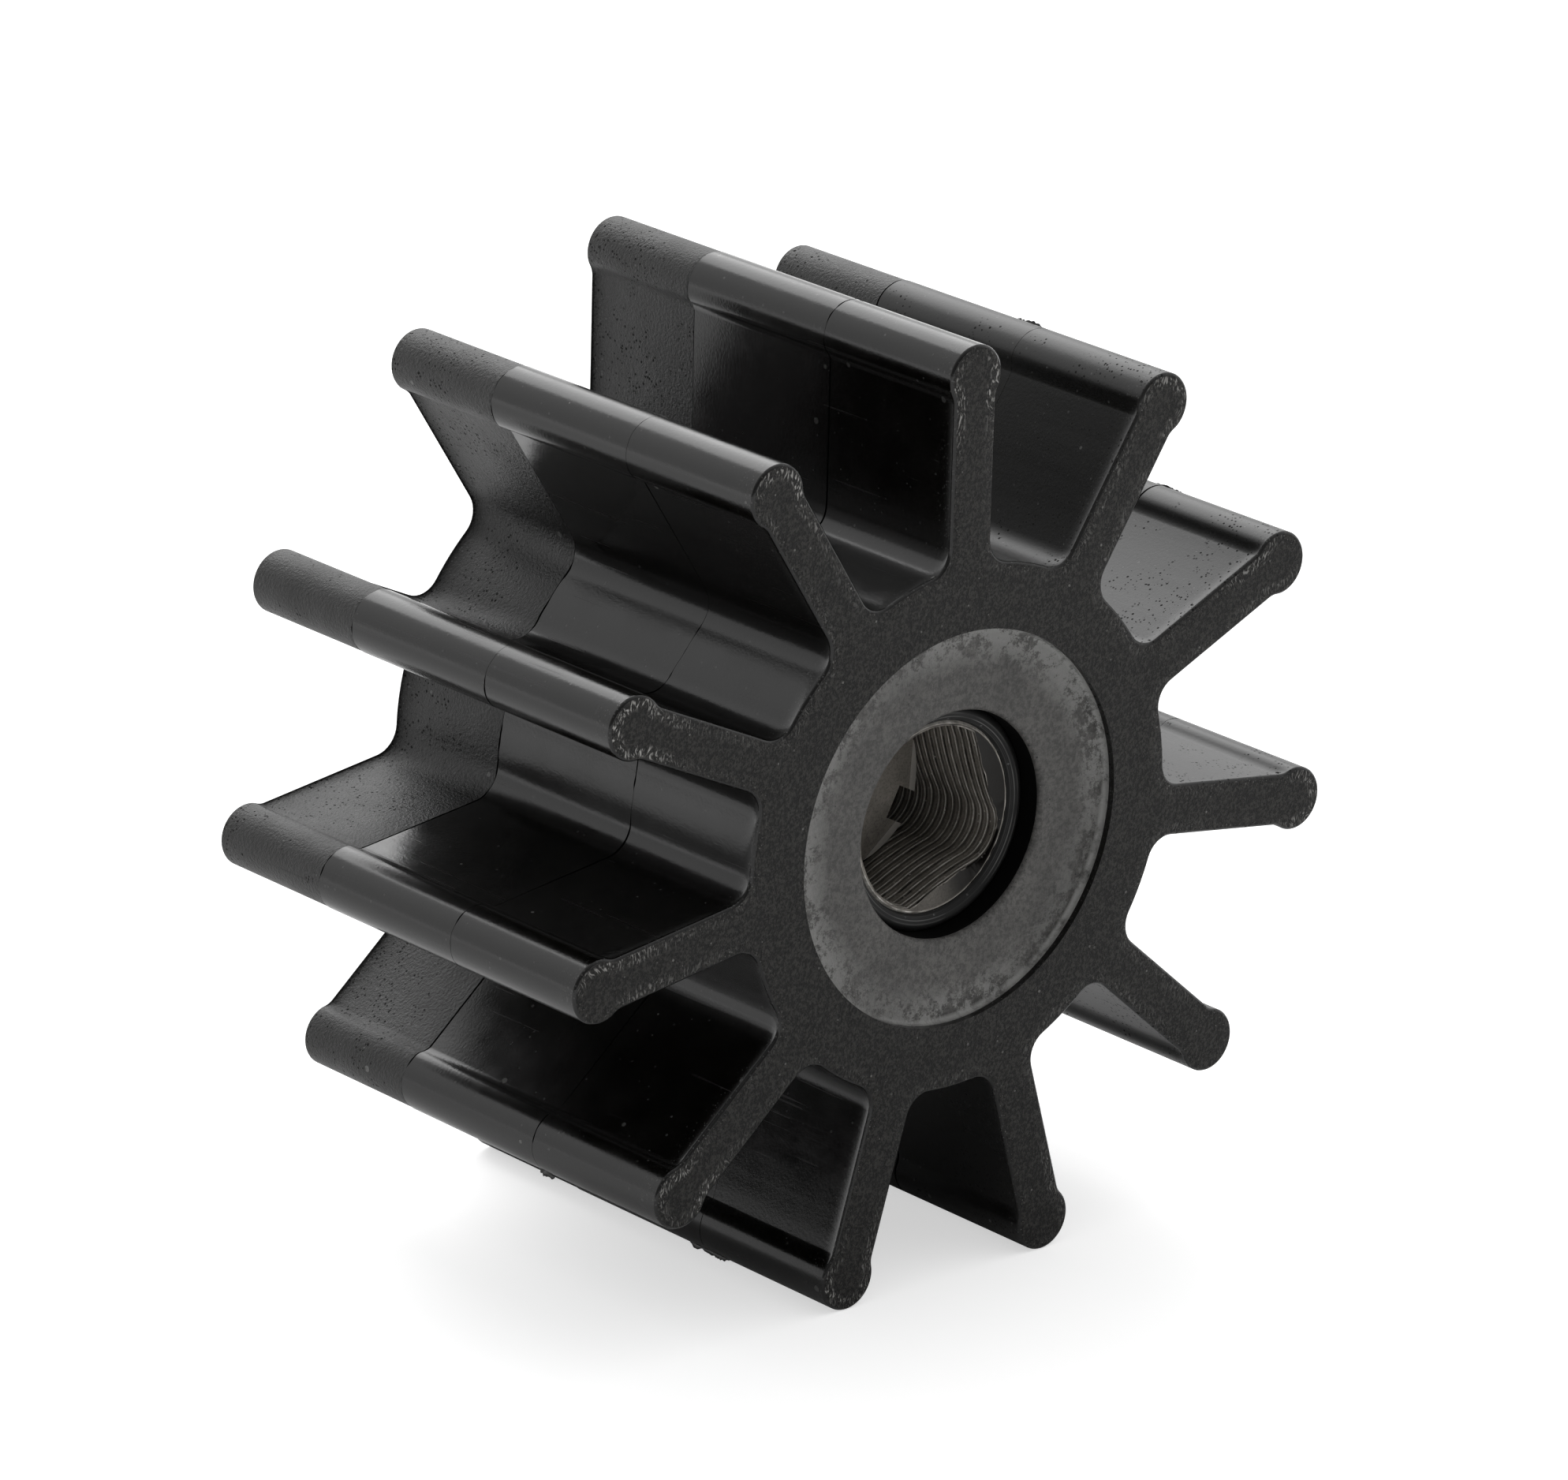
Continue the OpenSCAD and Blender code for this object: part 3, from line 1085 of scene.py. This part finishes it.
@dataclass
class HubSleeve:
    """The grey sleeve in the hub: a mouth at each end, and a thin lip up the rubber's bore."""

    lip_height: float = 0.34 * MM
    lip_wall: float = 0.05 * MM
    lip_round: float = 0.27 * MM
    mouth_round: float = 0.30 * MM
    round_steps: int = 5
    segments: int = 192

    def _round_off(self, bm: BMesh, corners: list[BMVert], radius: float) -> None:
        """Rounds some corners of the section by a radius."""
        bmesh.ops.bevel(bm, geom=corners, offset=radius, affect="VERTICES", profile=0.5,
                        segments=self.round_steps, material=-1)

    def build(self) -> bpy.types.Object:
        """Builds the sleeve as a section spun about the axis.

        Returns:
            The finished piece, its faces numbered by MouthZone.
        """
        bm = bmesh.new()
        end = HUB.sleeve_y
        lip_y = end + self.lip_height
        lip_r = HUB.sleeve_r - self.lip_wall
        half = [(HUB.bush_r, HUB.shoulder_y), (HUB.mouth_r, HUB.shoulder_y), (HUB.mouth_r, end),
                (lip_r, end), (lip_r, lip_y), (HUB.sleeve_r, lip_y)]
        verts = [bm.verts.new((radius, -y, 0.0)) for radius, y in half]
        verts += [bm.verts.new((radius, y, 0.0)) for radius, y in reversed(half)]
        for index, vert in enumerate(verts):
            bm.edges.new((vert, verts[(index + 1) % len(verts)]))
        at_end = [v for v in verts if abs(abs(v.co.y) - end) < TOUCH]
        self._round_off(bm, [v for v in at_end if abs(v.co.x - lip_r) < TOUCH], self.lip_round)
        mouths = [v for v in bm.verts
                  if v.co.x < HUB.mouth_r + JOIN and abs(v.co.y) > end - JOIN]
        self._round_off(bm, mouths, self.mouth_round)
        turn_section(bm, self.segments)
        # The wall of the mouth gets the matt black painted shade.
        for face in bm.faces:
            centre = face.calc_center_median()
            on_wall = HUB.shoulder_y < abs(centre.y) < end - self.mouth_round
            inside = hypot_xz(centre) < HUB.mouth_r + 0.01 * MM and on_wall
            face.material_index = MouthZone.SHADED.value if inside else MouthZone.FACE.value
        return finish_mesh(bm, "sleeve_body", math.radians(40))


@dataclass
class DriveBush:
    """The metal bush: a turned body with a nose at each end and a ridged socket round a core."""

    nose_bevel: float = 0.12 * MM
    bore_r: float = 5.4 * MM
    flat_dist: float = 4.35 * MM
    corner_r: float = 2.1 * MM
    side_bow: float = 0.12 * MM
    socket_turn: float = math.radians(20)
    pitch: float = 0.6 * MM
    upper_ridges: int = 9
    lower_ridges: int = 6
    groove_depth: float = 0.10 * MM
    core_r: float = 4.1 * MM
    core_sink: float = 0.2 * MM
    slot_w: float = 2.0 * MM
    slot_start: float = 2.1 * MM
    slot_turn: float = math.radians(-28)
    facet_turn: float = math.radians(24)
    facet_dist: float = 3.07 * MM
    facet_drop: float = 0.6 * MM
    # Painted highlight on the core's two facets.
    facet_highlight_tone: float = 1.0
    ridge_wander: float = 0.035 * MM
    coarse_wear: float = 0.02 * MM
    fine_wear: float = 0.008 * MM
    end_strip: float = 0.12 * MM
    strip_limit: float = 5.52 * MM
    burr: float = 0.07 * MM
    burr_height: float = 0.03 * MM
    burr_limit: float = 5.2 * MM
    edge_limit: float = 5.42 * MM
    pocket_from: float = math.radians(-56)
    pocket_to: float = math.radians(-16)
    pocket_depth: float = 0.5 * MM
    pocket_rim_depth: float = 0.35 * MM
    rim_strip: float = 0.09 * MM
    rim_burr: float = 0.05 * MM
    flat_steps: int = 28
    corner_steps: int = 22
    bore_steps: int = 90
    core_steps: int = 96
    rim_steps: int = 160
    plain_tone: float = 0.5
    # Rings of vertices down one ridge: share of the pitch, share of the groove's depth, and tone,
    # which is painted shade at 0 and painted highlight at 1
    profile: tuple = ((0.02, 1.0, 0.0), (0.11, 1.0, 0.0), (0.20, 1.0, 0.0), (0.24, 0.3, 0.5),
                      (0.28, 0.0, 1.0), (0.34, 0.0, 1.0), (0.38, 0.1, 0.52), (0.52, 0.15, 0.46),
                      (0.66, 0.10, 0.50), (0.71, 0.0, 0.85), (0.76, 0.12, 0.50), (0.94, 0.2, 0.44))

    def _outline(self, bm: BMesh) -> None:
        """Draws the socket's closed outline: the round bore, two flats and the corner between."""
        y = -HUB.nose_y
        end = math.sqrt(self.bore_r ** 2 - self.flat_dist ** 2)
        corner = self.flat_dist - self.corner_r
        length = (end + corner) / self.flat_steps
        turn = Matrix.Rotation(-self.socket_turn, 4, "Y")
        vert = bm.verts.new(turn @ Vector((-end, y, -self.flat_dist)))
        for step in range(1, self.flat_steps + 1):
            vert = line_to(bm, vert, turn @ Vector((step * length - end, y, -self.flat_dist)))
        centre = turn @ Vector((corner, y, -corner))
        vert = arc_to(bm, vert, centre, -math.pi / 2, self.corner_steps)
        for step in range(1, self.flat_steps + 1):
            vert = line_to(bm, vert, turn @ Vector((self.flat_dist, y, step * length - corner)))
        sweep = 1.5 * math.pi - 2 * math.atan2(end, self.flat_dist)
        arc_to(bm, vert, AXIS * y, -sweep, self.bore_steps)
        bmesh.ops.remove_doubles(bm, verts=bm.verts[:], dist=2 * JOIN)

    def _bow_at(self, point: Vector) -> float:
        """Returns how far the socket's side bows inwards at a point of its outline."""
        bow = 0.0
        half = self.flat_dist - self.corner_r
        for normal in (self.socket_turn, self.socket_turn - math.pi / 2):
            along = point.x * math.cos(normal) + point.z * math.sin(normal)
            across = -point.x * math.sin(normal) + point.z * math.cos(normal)
            if along > self.flat_dist - 0.01 * MM and abs(across) < half:
                bow = max(bow, self.side_bow * (1.0 - (across / half) ** 2))
        return bow

    def _off_corner(self, point: Vector) -> float:
        """Returns 0 in the corner between the two flats and 1 well away from it."""
        angle = abs(math.atan2(point.z, point.x) - (self.socket_turn - math.pi / 4))
        return smooth_step(math.radians(12), math.radians(28), angle)

    def _row_noise(self, spot: Vector, scale: float, step: float, start: float = 0.0) -> float:
        """Returns noise that runs along a ridge, and starts a step further on at each ridge."""
        row = math.floor((spot.y + HUB.nose_y) / self.pitch)
        return noise.noise(Vector((spot.x * scale, row * step + start, spot.z * scale)))

    def _wear_at(self, vert: BMVert, groove: float, crest: float) -> tuple[Vector, float]:
        """Works out how one vertex of the wall is worn, and its painted tone.

        Args:
            vert: Vertex of the wall.
            groove: Share of the groove's depth there.
            crest: Painted tone there, 0 for shade and 1 for highlight.

        Returns:
            The vertex's move, and its painted tone: highlight on the crest and shade in the groove,
            varied at random.
        """
        spot = vert.co * 1.0
        rough = self._row_noise(spot, 700.0, 7.3)
        fine = noise.noise(spot * 2600.0)
        dash = self._row_noise(spot, 800.0, 3.1) - 0.12 * (spot.z < -1.0 * MM)
        gape = smooth_step(-0.1, 0.08, dash) * self._off_corner(spot)
        at_bottom = groove > 0.9
        cut = self.groove_depth * groove * (0.35 + 0.2 * rough + 1.3 * gape * at_bottom)
        inward = self._bow_at(spot) + self.coarse_wear * rough + self.fine_wear * fine
        wander = self.ridge_wander * self._row_noise(spot, 500.0, 5.7, 40.0)
        move = vert.normal * (inward - cut) + AXIS * wander
        # Painted tone: crest highlight and groove shade, their contrast varied at random; groove
        # bottoms get painted shade, black where they gape.
        varied_shade_tone = self.plain_tone + (crest - self.plain_tone) * (0.75 + 0.5 * rough)
        return move, 0.34 * (1.0 - gape) if at_bottom else varied_shade_tone

    def _walls(self, bm: BMesh) -> None:
        """Draws the outline down to the socket's floor and shapes the ridges."""
        ridges = self.upper_ridges + self.lower_ridges
        raise_wall(bm, ridges * self.pitch)
        middle = bm.faces[0].calc_center_median() * Vector((1.0, 0.0, 1.0))
        if bm.faces[0].normal.dot(middle) > 0:
            bmesh.ops.reverse_faces(bm, faces=bm.faces[:])
        levels = {}
        for ridge in range(ridges):
            for share, groove, crest in self.profile:
                y = -HUB.nose_y + (ridge + share) * self.pitch
                levels[round(y / TOUCH)] = (groove, crest)
                cut_ring(bm, y)
        bm.normal_update()
        # The ridge attribute holds each vertex's painted shade and highlight tone.
        tone = bm.verts.layers.float.new("ridge")
        bm.faces.layers.float.new("facet")
        worn = [(vert, *self._wear_at(vert, *levels.get(round(vert.co.y / TOUCH), (0.3, 0.5))))
                for vert in bm.verts]
        for vert, move, varied_shade_tone in worn:
            vert.co += move
            vert[tone] = varied_shade_tone

    def _pocket_at(self, point: Vector) -> float:
        """Returns how far the socket's end is broken away, 1 in the middle of the corner."""
        angle = math.atan2(point.z, point.x)
        middle = (self.pocket_from + self.pocket_to) / 2
        half = (self.pocket_to - self.pocket_from) / 2
        return 1.0 - smooth_step(0.45, 1.0, abs(angle - middle) / half)

    def _end_shade_tone(self, point: Vector) -> float:
        """Returns the painted shade tone of the nose's end face, darkest to the right of the socket
        and in the pocket.
        """
        lean = math.cos(math.atan2(point.z, point.x) - math.radians(15))
        tone = 0.30 - 0.29 * lean + 0.06 * noise.noise(point * 350.0)
        return tone * (1.0 - self._pocket_at(point))

    def _end_face(self, bm: BMesh) -> list[BMEdge]:
        """Gives the socket a burred front edge, and closes the nose's end round it, with painted
        shade on the end face and in the broken pocket.

        Args:
            bm: Mesh that holds the socket's wall.

        Returns:
            The outer edges of the end face.
        """
        tone = bm.verts.layers.float["ridge"]
        front = -HUB.nose_y
        loop = [e for e in bm.edges
                if e.is_boundary and all(v.co.y < front + 0.1 * MM for v in e.verts)]
        for vert in {v for e in loop for v in e.verts}:
            spot = vert.co * 1.0
            radius = hypot_xz(spot)
            pocket = self._pocket_at(spot)
            burr = rough_at(spot, 900.0, 2400.0, 0.6)
            reach = min(0.0, self.edge_limit - radius)
            reach += self.burr * burr * (radius < self.burr_limit)
            vert.co += outward_at(spot) * reach
            vert.co.y = front - self.burr_height * max(0.0, burr) + self.pocket_depth * pocket
            # Along the burred edge the tone rises and falls with the burrs, and the broken pocket
            # gets painted shade.
            vert[tone] = self.plain_tone + 0.6 * burr - 0.5 * pocket
        strip, inner = draw_out(bm, loop)
        for vert in strip:
            spot = vert.co * 1.0
            pocket = self._pocket_at(spot)
            width = self.end_strip * (1.0 + 2.5 * pocket)
            vert.co += outward_at(spot) * min(width, self.strip_limit - hypot_xz(spot))
            vert.co.y = front + self.pocket_rim_depth * pocket
            # The end face gets painted shade, darkest to the right and in the pocket.
            vert[tone] = self._end_shade_tone(spot)
        rim_r = HUB.nose_r - self.nose_bevel - self.rim_strip
        verts, rim = flat_ring(bm, front, rim_r, self.rim_steps)
        # The end face's outer ring gets the same painted shade.
        for vert in verts:
            vert[tone] = self._end_shade_tone(vert.co)
        bmesh.ops.triangle_fill(bm, use_beauty=True, use_dissolve=False, edges=inner + rim,
                                normal=-AXIS)
        return rim

    def _outside(self, bm: BMesh, rim: list[BMEdge]) -> None:
        """Draws the nose's burred rim with a ragged painted highlight, its bevel with a painted
        highlight strongest towards +X, its side, the shoulder and half of the body.

        Args:
            bm: Mesh of the bush.
            rim: Outer edges of the nose's end face.
        """
        tone = bm.verts.layers.float["ridge"]
        verts, edges = draw_out(bm, rim)
        # The nose's rim gets a ragged painted highlight.
        for vert in verts:
            burr = noise.noise(vert.co * 1500.0)
            out = outward_at(vert.co) * (HUB.nose_r - self.nose_bevel)
            vert.co = out - AXIS * (HUB.nose_y + self.rim_burr * (0.5 + burr))
            vert[tone] = 0.80 + 0.3 * burr
        verts, edges = draw_out(bm, edges)
        # The bevel gets a painted highlight, strongest towards +X.
        for vert in verts:
            out = outward_at(vert.co)
            vert.co = out * HUB.nose_r - AXIS * (HUB.nose_y - self.nose_bevel)
            vert[tone] = 0.72 + 0.28 * max(0.0, out.x)
        side = ((HUB.nose_r, HUB.shoulder_y), (HUB.bush_r, HUB.shoulder_y), (HUB.bush_r, 0.0))
        for radius, depth in side:
            verts, edges = draw_out(bm, edges)
            for vert in verts:
                vert.co = outward_at(vert.co) * radius - AXIS * depth
                vert[tone] = self.plain_tone

    def _floor(self, bm: BMesh) -> None:
        """Closes the socket's floor."""
        floor_y = -HUB.nose_y + (self.upper_ridges + self.lower_ridges) * self.pitch
        loop = [e for e in bm.edges if e.is_boundary and all(
            abs(v.co.y - floor_y) < 0.1 * MM and hypot_xz(v.co) < HUB.nose_r for v in e.verts)]
        bmesh.ops.triangle_fill(bm, use_beauty=True, use_dissolve=False, edges=loop, normal=-AXIS)

    def _core(self) -> BMesh:
        """Builds the core: a round post with a slot, and a facet on each side of the slot.

        Returns:
            A mesh of the core alone.
        """
        bm = bmesh.new()
        tone = bm.verts.layers.float.new("ridge")
        bm.faces.layers.float.new("facet")
        top = -HUB.nose_y + self.upper_ridges * self.pitch
        half_w = self.slot_w / 2
        half = math.asin(half_w / self.core_r)
        turn = Matrix.Rotation(-self.slot_turn, 4, "Y")
        start = bm.verts.new(turn @ Vector((self.core_r * math.cos(half), top, half_w)))
        vert = arc_to(bm, start, AXIS * top, -(2 * math.pi - 2 * half), self.core_steps)
        vert = line_to(bm, vert, turn @ Vector((self.slot_start, top, -half_w)))
        vert = line_to(bm, vert, turn @ Vector((self.slot_start, top, half_w)))
        line_to(bm, vert, start.co)
        bmesh.ops.remove_doubles(bm, verts=bm.verts[:], dist=JOIN)
        face = bmesh.ops.contextual_create(bm, geom=bm.edges[:])["faces"]
        made = bmesh.ops.extrude_face_region(bm, geom=face)
        lower = [item for item in made["geom"] if isinstance(item, BMVert)]
        depth = self.lower_ridges * self.pitch + self.core_sink
        bmesh.ops.translate(bm, verts=lower, vec=AXIS * depth)
        for side in (-1.0, 1.0):
            self._cut_facet(bm, self.slot_turn + side * self.facet_turn, top)
        bmesh.ops.recalc_face_normals(bm, faces=bm.faces[:])
        for vert in bm.verts:
            vert[tone] = self.plain_tone
        return bm

    def _cut_facet(self, bm: BMesh, angle: float, top: float) -> None:
        """Cuts one sloping facet on the core's end.

        Args:
            bm: Mesh of the core.
            angle: Turn of the facet about the axis, from +X towards +Z.
            top: Place of the core's end along the axis.
        """
        facet = bm.faces.layers.float["facet"]
        out = Vector((math.cos(angle), 0.0, math.sin(angle)))
        slope = (out * (self.core_r - self.facet_dist) + AXIS * self.facet_drop).normalized()
        normal = slope.cross(out.cross(AXIS))
        cut = bmesh.ops.bisect_plane(bm, geom=everything(bm), dist=TOUCH / 10,
                                     plane_co=out * self.facet_dist + AXIS * top,
                                     plane_no=normal if normal.y < 0 else -normal, clear_outer=True)
        rim = [item for item in cut["geom_cut"] if isinstance(item, BMEdge)]
        # The facets get a painted highlight.
        for face in bmesh.ops.edgenet_fill(bm, edges=rim)["faces"]:
            face[facet] = self.facet_highlight_tone

    def build(self) -> bpy.types.Object:
        """Builds one end, mirrors it and joins the two at the middle of the body.

        Returns:
            The finished piece.
        """
        bm = bmesh.new()
        self._outline(bm)
        self._walls(bm)
        self._outside(bm, self._end_face(bm))
        self._floor(bm)
        core = self._core()
        spare = bpy.data.meshes.new("core_spare")
        core.to_mesh(spare)
        core.free()
        bm.from_mesh(spare)
        bpy.data.meshes.remove(spare)
        bmesh.ops.mirror(bm, geom=everything(bm), matrix=Matrix.Identity(4), merge_dist=JOIN,
                         axis="Y")
        close_shell(bm)
        return finish_mesh(bm, "bush_body", math.radians(24))


@dataclass
class SealingRing:
    """A round sealing ring in the groove between the bush's nose and the sleeve's mouth."""

    name: str
    side: float
    play: float = 0.01 * MM
    rise: float = 0.10 * MM
    section_steps: int = 40
    turn_steps: int = 160

    def build(self) -> bpy.types.Object:
        """Builds the ring as a circle spun about the axis, a little proud of its seat.

        Returns:
            The finished piece.
        """
        bm = bmesh.new()
        radius = (HUB.mouth_r - HUB.nose_r) / 2 - self.play
        y = self.side * (HUB.shoulder_y + radius + self.rise)
        centre = Matrix.Translation(((HUB.mouth_r + HUB.nose_r) / 2, y, 0.0))
        bmesh.ops.create_circle(bm, segments=self.section_steps, radius=radius, matrix=centre)
        turn_section(bm, self.turn_steps)
        return finish_mesh(bm, self.name, math.radians(60))


@dataclass
class Studio:
    """Camera, floor, world and lamp of a plain pale studio."""

    azimuth: float = math.radians(-41.341)
    elevation: float = math.radians(19.433)
    roll: float = math.radians(1.628)
    distance: float = 0.5375
    clip: tuple[float, float] = (0.01, 50.0)
    focal_pixels: float = 11808.3
    image: tuple[int, int] = (1988, 1876)
    view_centre: tuple[float, float] = (985.8, 955.7)
    sensor: float = 36.0
    floor_r: float = 4.0
    glow_near: float = 0.16
    glow_far: float = 0.50
    far_glow: float = 0.45
    seen_glow: float = 0.57
    lit_paper: tuple = (0.8, 0.8, 0.8, 1.0)
    seen_paper: tuple = (0.82, 0.82, 0.82, 1.0)
    mirrored_paper: tuple = (0.98, 0.98, 0.98, 1.0)
    bright_side: tuple = (0.50, 0.80, 0.20)
    lamp_place: tuple = (0.30, 0.62, 0.62)
    lamp_size: float = 0.72
    lamp_power: float = 3.6
    room_range: tuple = (-0.6, 0.5, 0.25, 1.15)

    def camera(self) -> None:
        """Places the camera as the photograph was taken."""
        flat = math.cos(self.elevation)
        back = Vector((math.sin(self.azimuth) * flat, -math.cos(self.azimuth) * flat,
                       math.sin(self.elevation)))
        right = Vector((math.cos(self.azimuth), math.sin(self.azimuth), 0.0))
        up = back.cross(right)
        turned_right = right * math.cos(self.roll) + up * math.sin(self.roll)
        turned_up = up * math.cos(self.roll) - right * math.sin(self.roll)
        width, height = self.image
        data = bpy.data.cameras.new("view")
        data.sensor_width = self.sensor
        data.lens = self.focal_pixels / width * self.sensor
        data.shift_x = (width / 2 - self.view_centre[0]) / width
        data.shift_y = (self.view_centre[1] - height / 2) / width
        data.clip_start, data.clip_end = self.clip
        camera = bpy.data.objects.new("view", data)
        turn = Matrix((turned_right, turned_up, back)).transposed()
        camera.matrix_world = Matrix.Translation(back * self.distance) @ turn.to_4x4()
        bpy.context.scene.collection.objects.link(camera)
        bpy.context.scene.camera = camera

    def paper(self) -> bpy.types.Material:
        """Builds the floor's material: a soft white that glows a little where it is seen.

        Returns:
            The material.
        """
        tree = MaterialTree("floor_white")
        ray = tree.add("ShaderNodeLightPath").outputs
        seen = ray["Is Camera Ray"]
        mirrored = tree.math("MAXIMUM", ray["Is Glossy Ray"], ray["Is Transmission Ray"])
        colour = tree.mix(mirrored, self.lit_paper, self.mirrored_paper)
        colour = tree.mix(seen, colour, self.seen_paper)
        far = tree.remap(tree.length(tree.place), self.glow_near, self.glow_far, 0.0, self.far_glow)
        glow = tree.math("MAXIMUM", tree.times(seen, self.seen_glow), tree.times(mirrored, far))
        tree.material.cycles.emission_sampling = "NONE"
        return tree.finish({"Base Color": colour, "Roughness": 0.9, "Specular IOR Level": 0.1,
                            "Emission Color": WHITE, "Emission Strength": glow})

    def floor(self, level: float) -> bpy.types.Object:
        """Lays a pale round floor that shows the object's shadow.

        Args:
            level: Height of the floor.

        Returns:
            The floor.
        """
        bm = bmesh.new()
        bmesh.ops.create_circle(bm, cap_ends=True, segments=96, radius=self.floor_r,
                                matrix=Matrix.Translation((0.0, 0.0, level)))
        floor = finish_mesh(bm, "floor", math.radians(30))
        floor.data.materials.append(self.paper())
        return floor

    def world(self) -> None:
        """Lights the scene from a pale room, white behind the object and dimmer in front of it."""
        world = bpy.data.worlds.new("studio")
        bpy.context.scene.world = world
        world.use_nodes = True
        tree = NodeTree(world.node_tree)
        direction = tree.add("ShaderNodeTexCoord").outputs["Generated"]
        away = tree.add("ShaderNodeVectorMath", {0: direction, 1: self.bright_side},
                        operation="DOT_PRODUCT").outputs["Value"]
        ray = tree.add("ShaderNodeLightPath").outputs["Is Camera Ray"]
        strength = tree.mix(ray, tree.remap(away, *self.room_range), WHITE)
        background = tree.add("ShaderNodeBackground", {"Color": WHITE, "Strength": strength})
        tree.add("ShaderNodeOutputWorld", {"Surface": background.outputs[0]})

    def lamp(self) -> None:
        """Hangs a soft square lamp behind the impeller and points it there."""
        data = bpy.data.lights.new("rear_soft", "AREA")
        data.size = self.lamp_size
        data.energy = self.lamp_power
        lamp = bpy.data.objects.new("rear_soft", data)
        lamp.location = self.lamp_place
        lamp.rotation_euler = Vector(self.lamp_place).to_track_quat("Z", "Y").to_euler()
        bpy.context.scene.collection.objects.link(lamp)

    def build(self, level: float) -> None:
        """Sets up the whole studio.

        Args:
            level: Height of the floor.
        """
        self.camera()
        self.floor(level)
        self.world()
        self.lamp()
        bpy.context.scene.view_settings.view_transform = "Standard"


@dataclass
class Impeller:
    """The whole dressed impeller."""

    groups: PatternGroups = field(default_factory=PatternGroups)

    def place(self, piece: bpy.types.Object, node: str, slot: str,
              *materials: bpy.types.Material) -> None:
        """Dresses a piece and lets it stand for its CAD node.

        Args:
            piece: Finished piece.
            node: Name of the CAD node.
            slot: Name of the record's material slot; not used.
            *materials: Materials in slot order.
        """
        for material in materials:
            piece.data.materials.append(material)
        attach(piece, "root")
        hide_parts(node)
        LOG.info("%s stands for %s with %d faces", piece.name, node, len(piece.data.polygons))

    def build(self) -> None:
        """Builds every piece and lets it stand for its node."""
        finishes = {
            "glossy": MouldedRubber("glossy_rubber", 0.11, grain=0.35, streaks=0.5, pitted=0.0),
            "satin": MouldedRubber("satin_rubber", 0.34, grain=3.5, streaks=0.25, pitted=1.0),
            # The seams and the wall of the sleeve's mouth get a matt black painted shade.
            "ground": GroundRubber(), "seam": PaintedShade("seam_painted_shade"), "mouth": PaintedShade("mouth_painted_shade"),
            "sleeve": SleeveGrey(), "metal": DriveMetal(), "seal": SealRubber()}
        made = {name: finish.build(self.groups) for name, finish in finishes.items()}
        self.place(RubberBody().build(), "impeller_rubber", "impeller_rubber",
                   made["glossy"], made["satin"], made["ground"], made["seam"])
        self.place(HubSleeve().build(), "hub_sleeve", "hub_sleeve", made["sleeve"], made["mouth"])
        self.place(SealingRing("front_ring", -1.0).build(), "front_o_ring", "seal_rubber",
                   made["seal"])
        self.place(SealingRing("rear_ring", 1.0).build(), "rear_o_ring", "seal_rubber",
                   made["seal"])
        self.place(DriveBush().build(), "drive_bush", "drive_bush", made["metal"])


def main() -> None:
    """Loads the frame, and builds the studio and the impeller."""
    logging.basicConfig(level=logging.INFO, format="%(name)s: %(message)s")
    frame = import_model()
    LOG.info("frame loaded with %d nodes", len(frame["nodes"]))
    low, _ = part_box("impeller_rubber")
    Studio().build(low[2])
    Impeller().build()


if __name__ == "__main__":
    main()
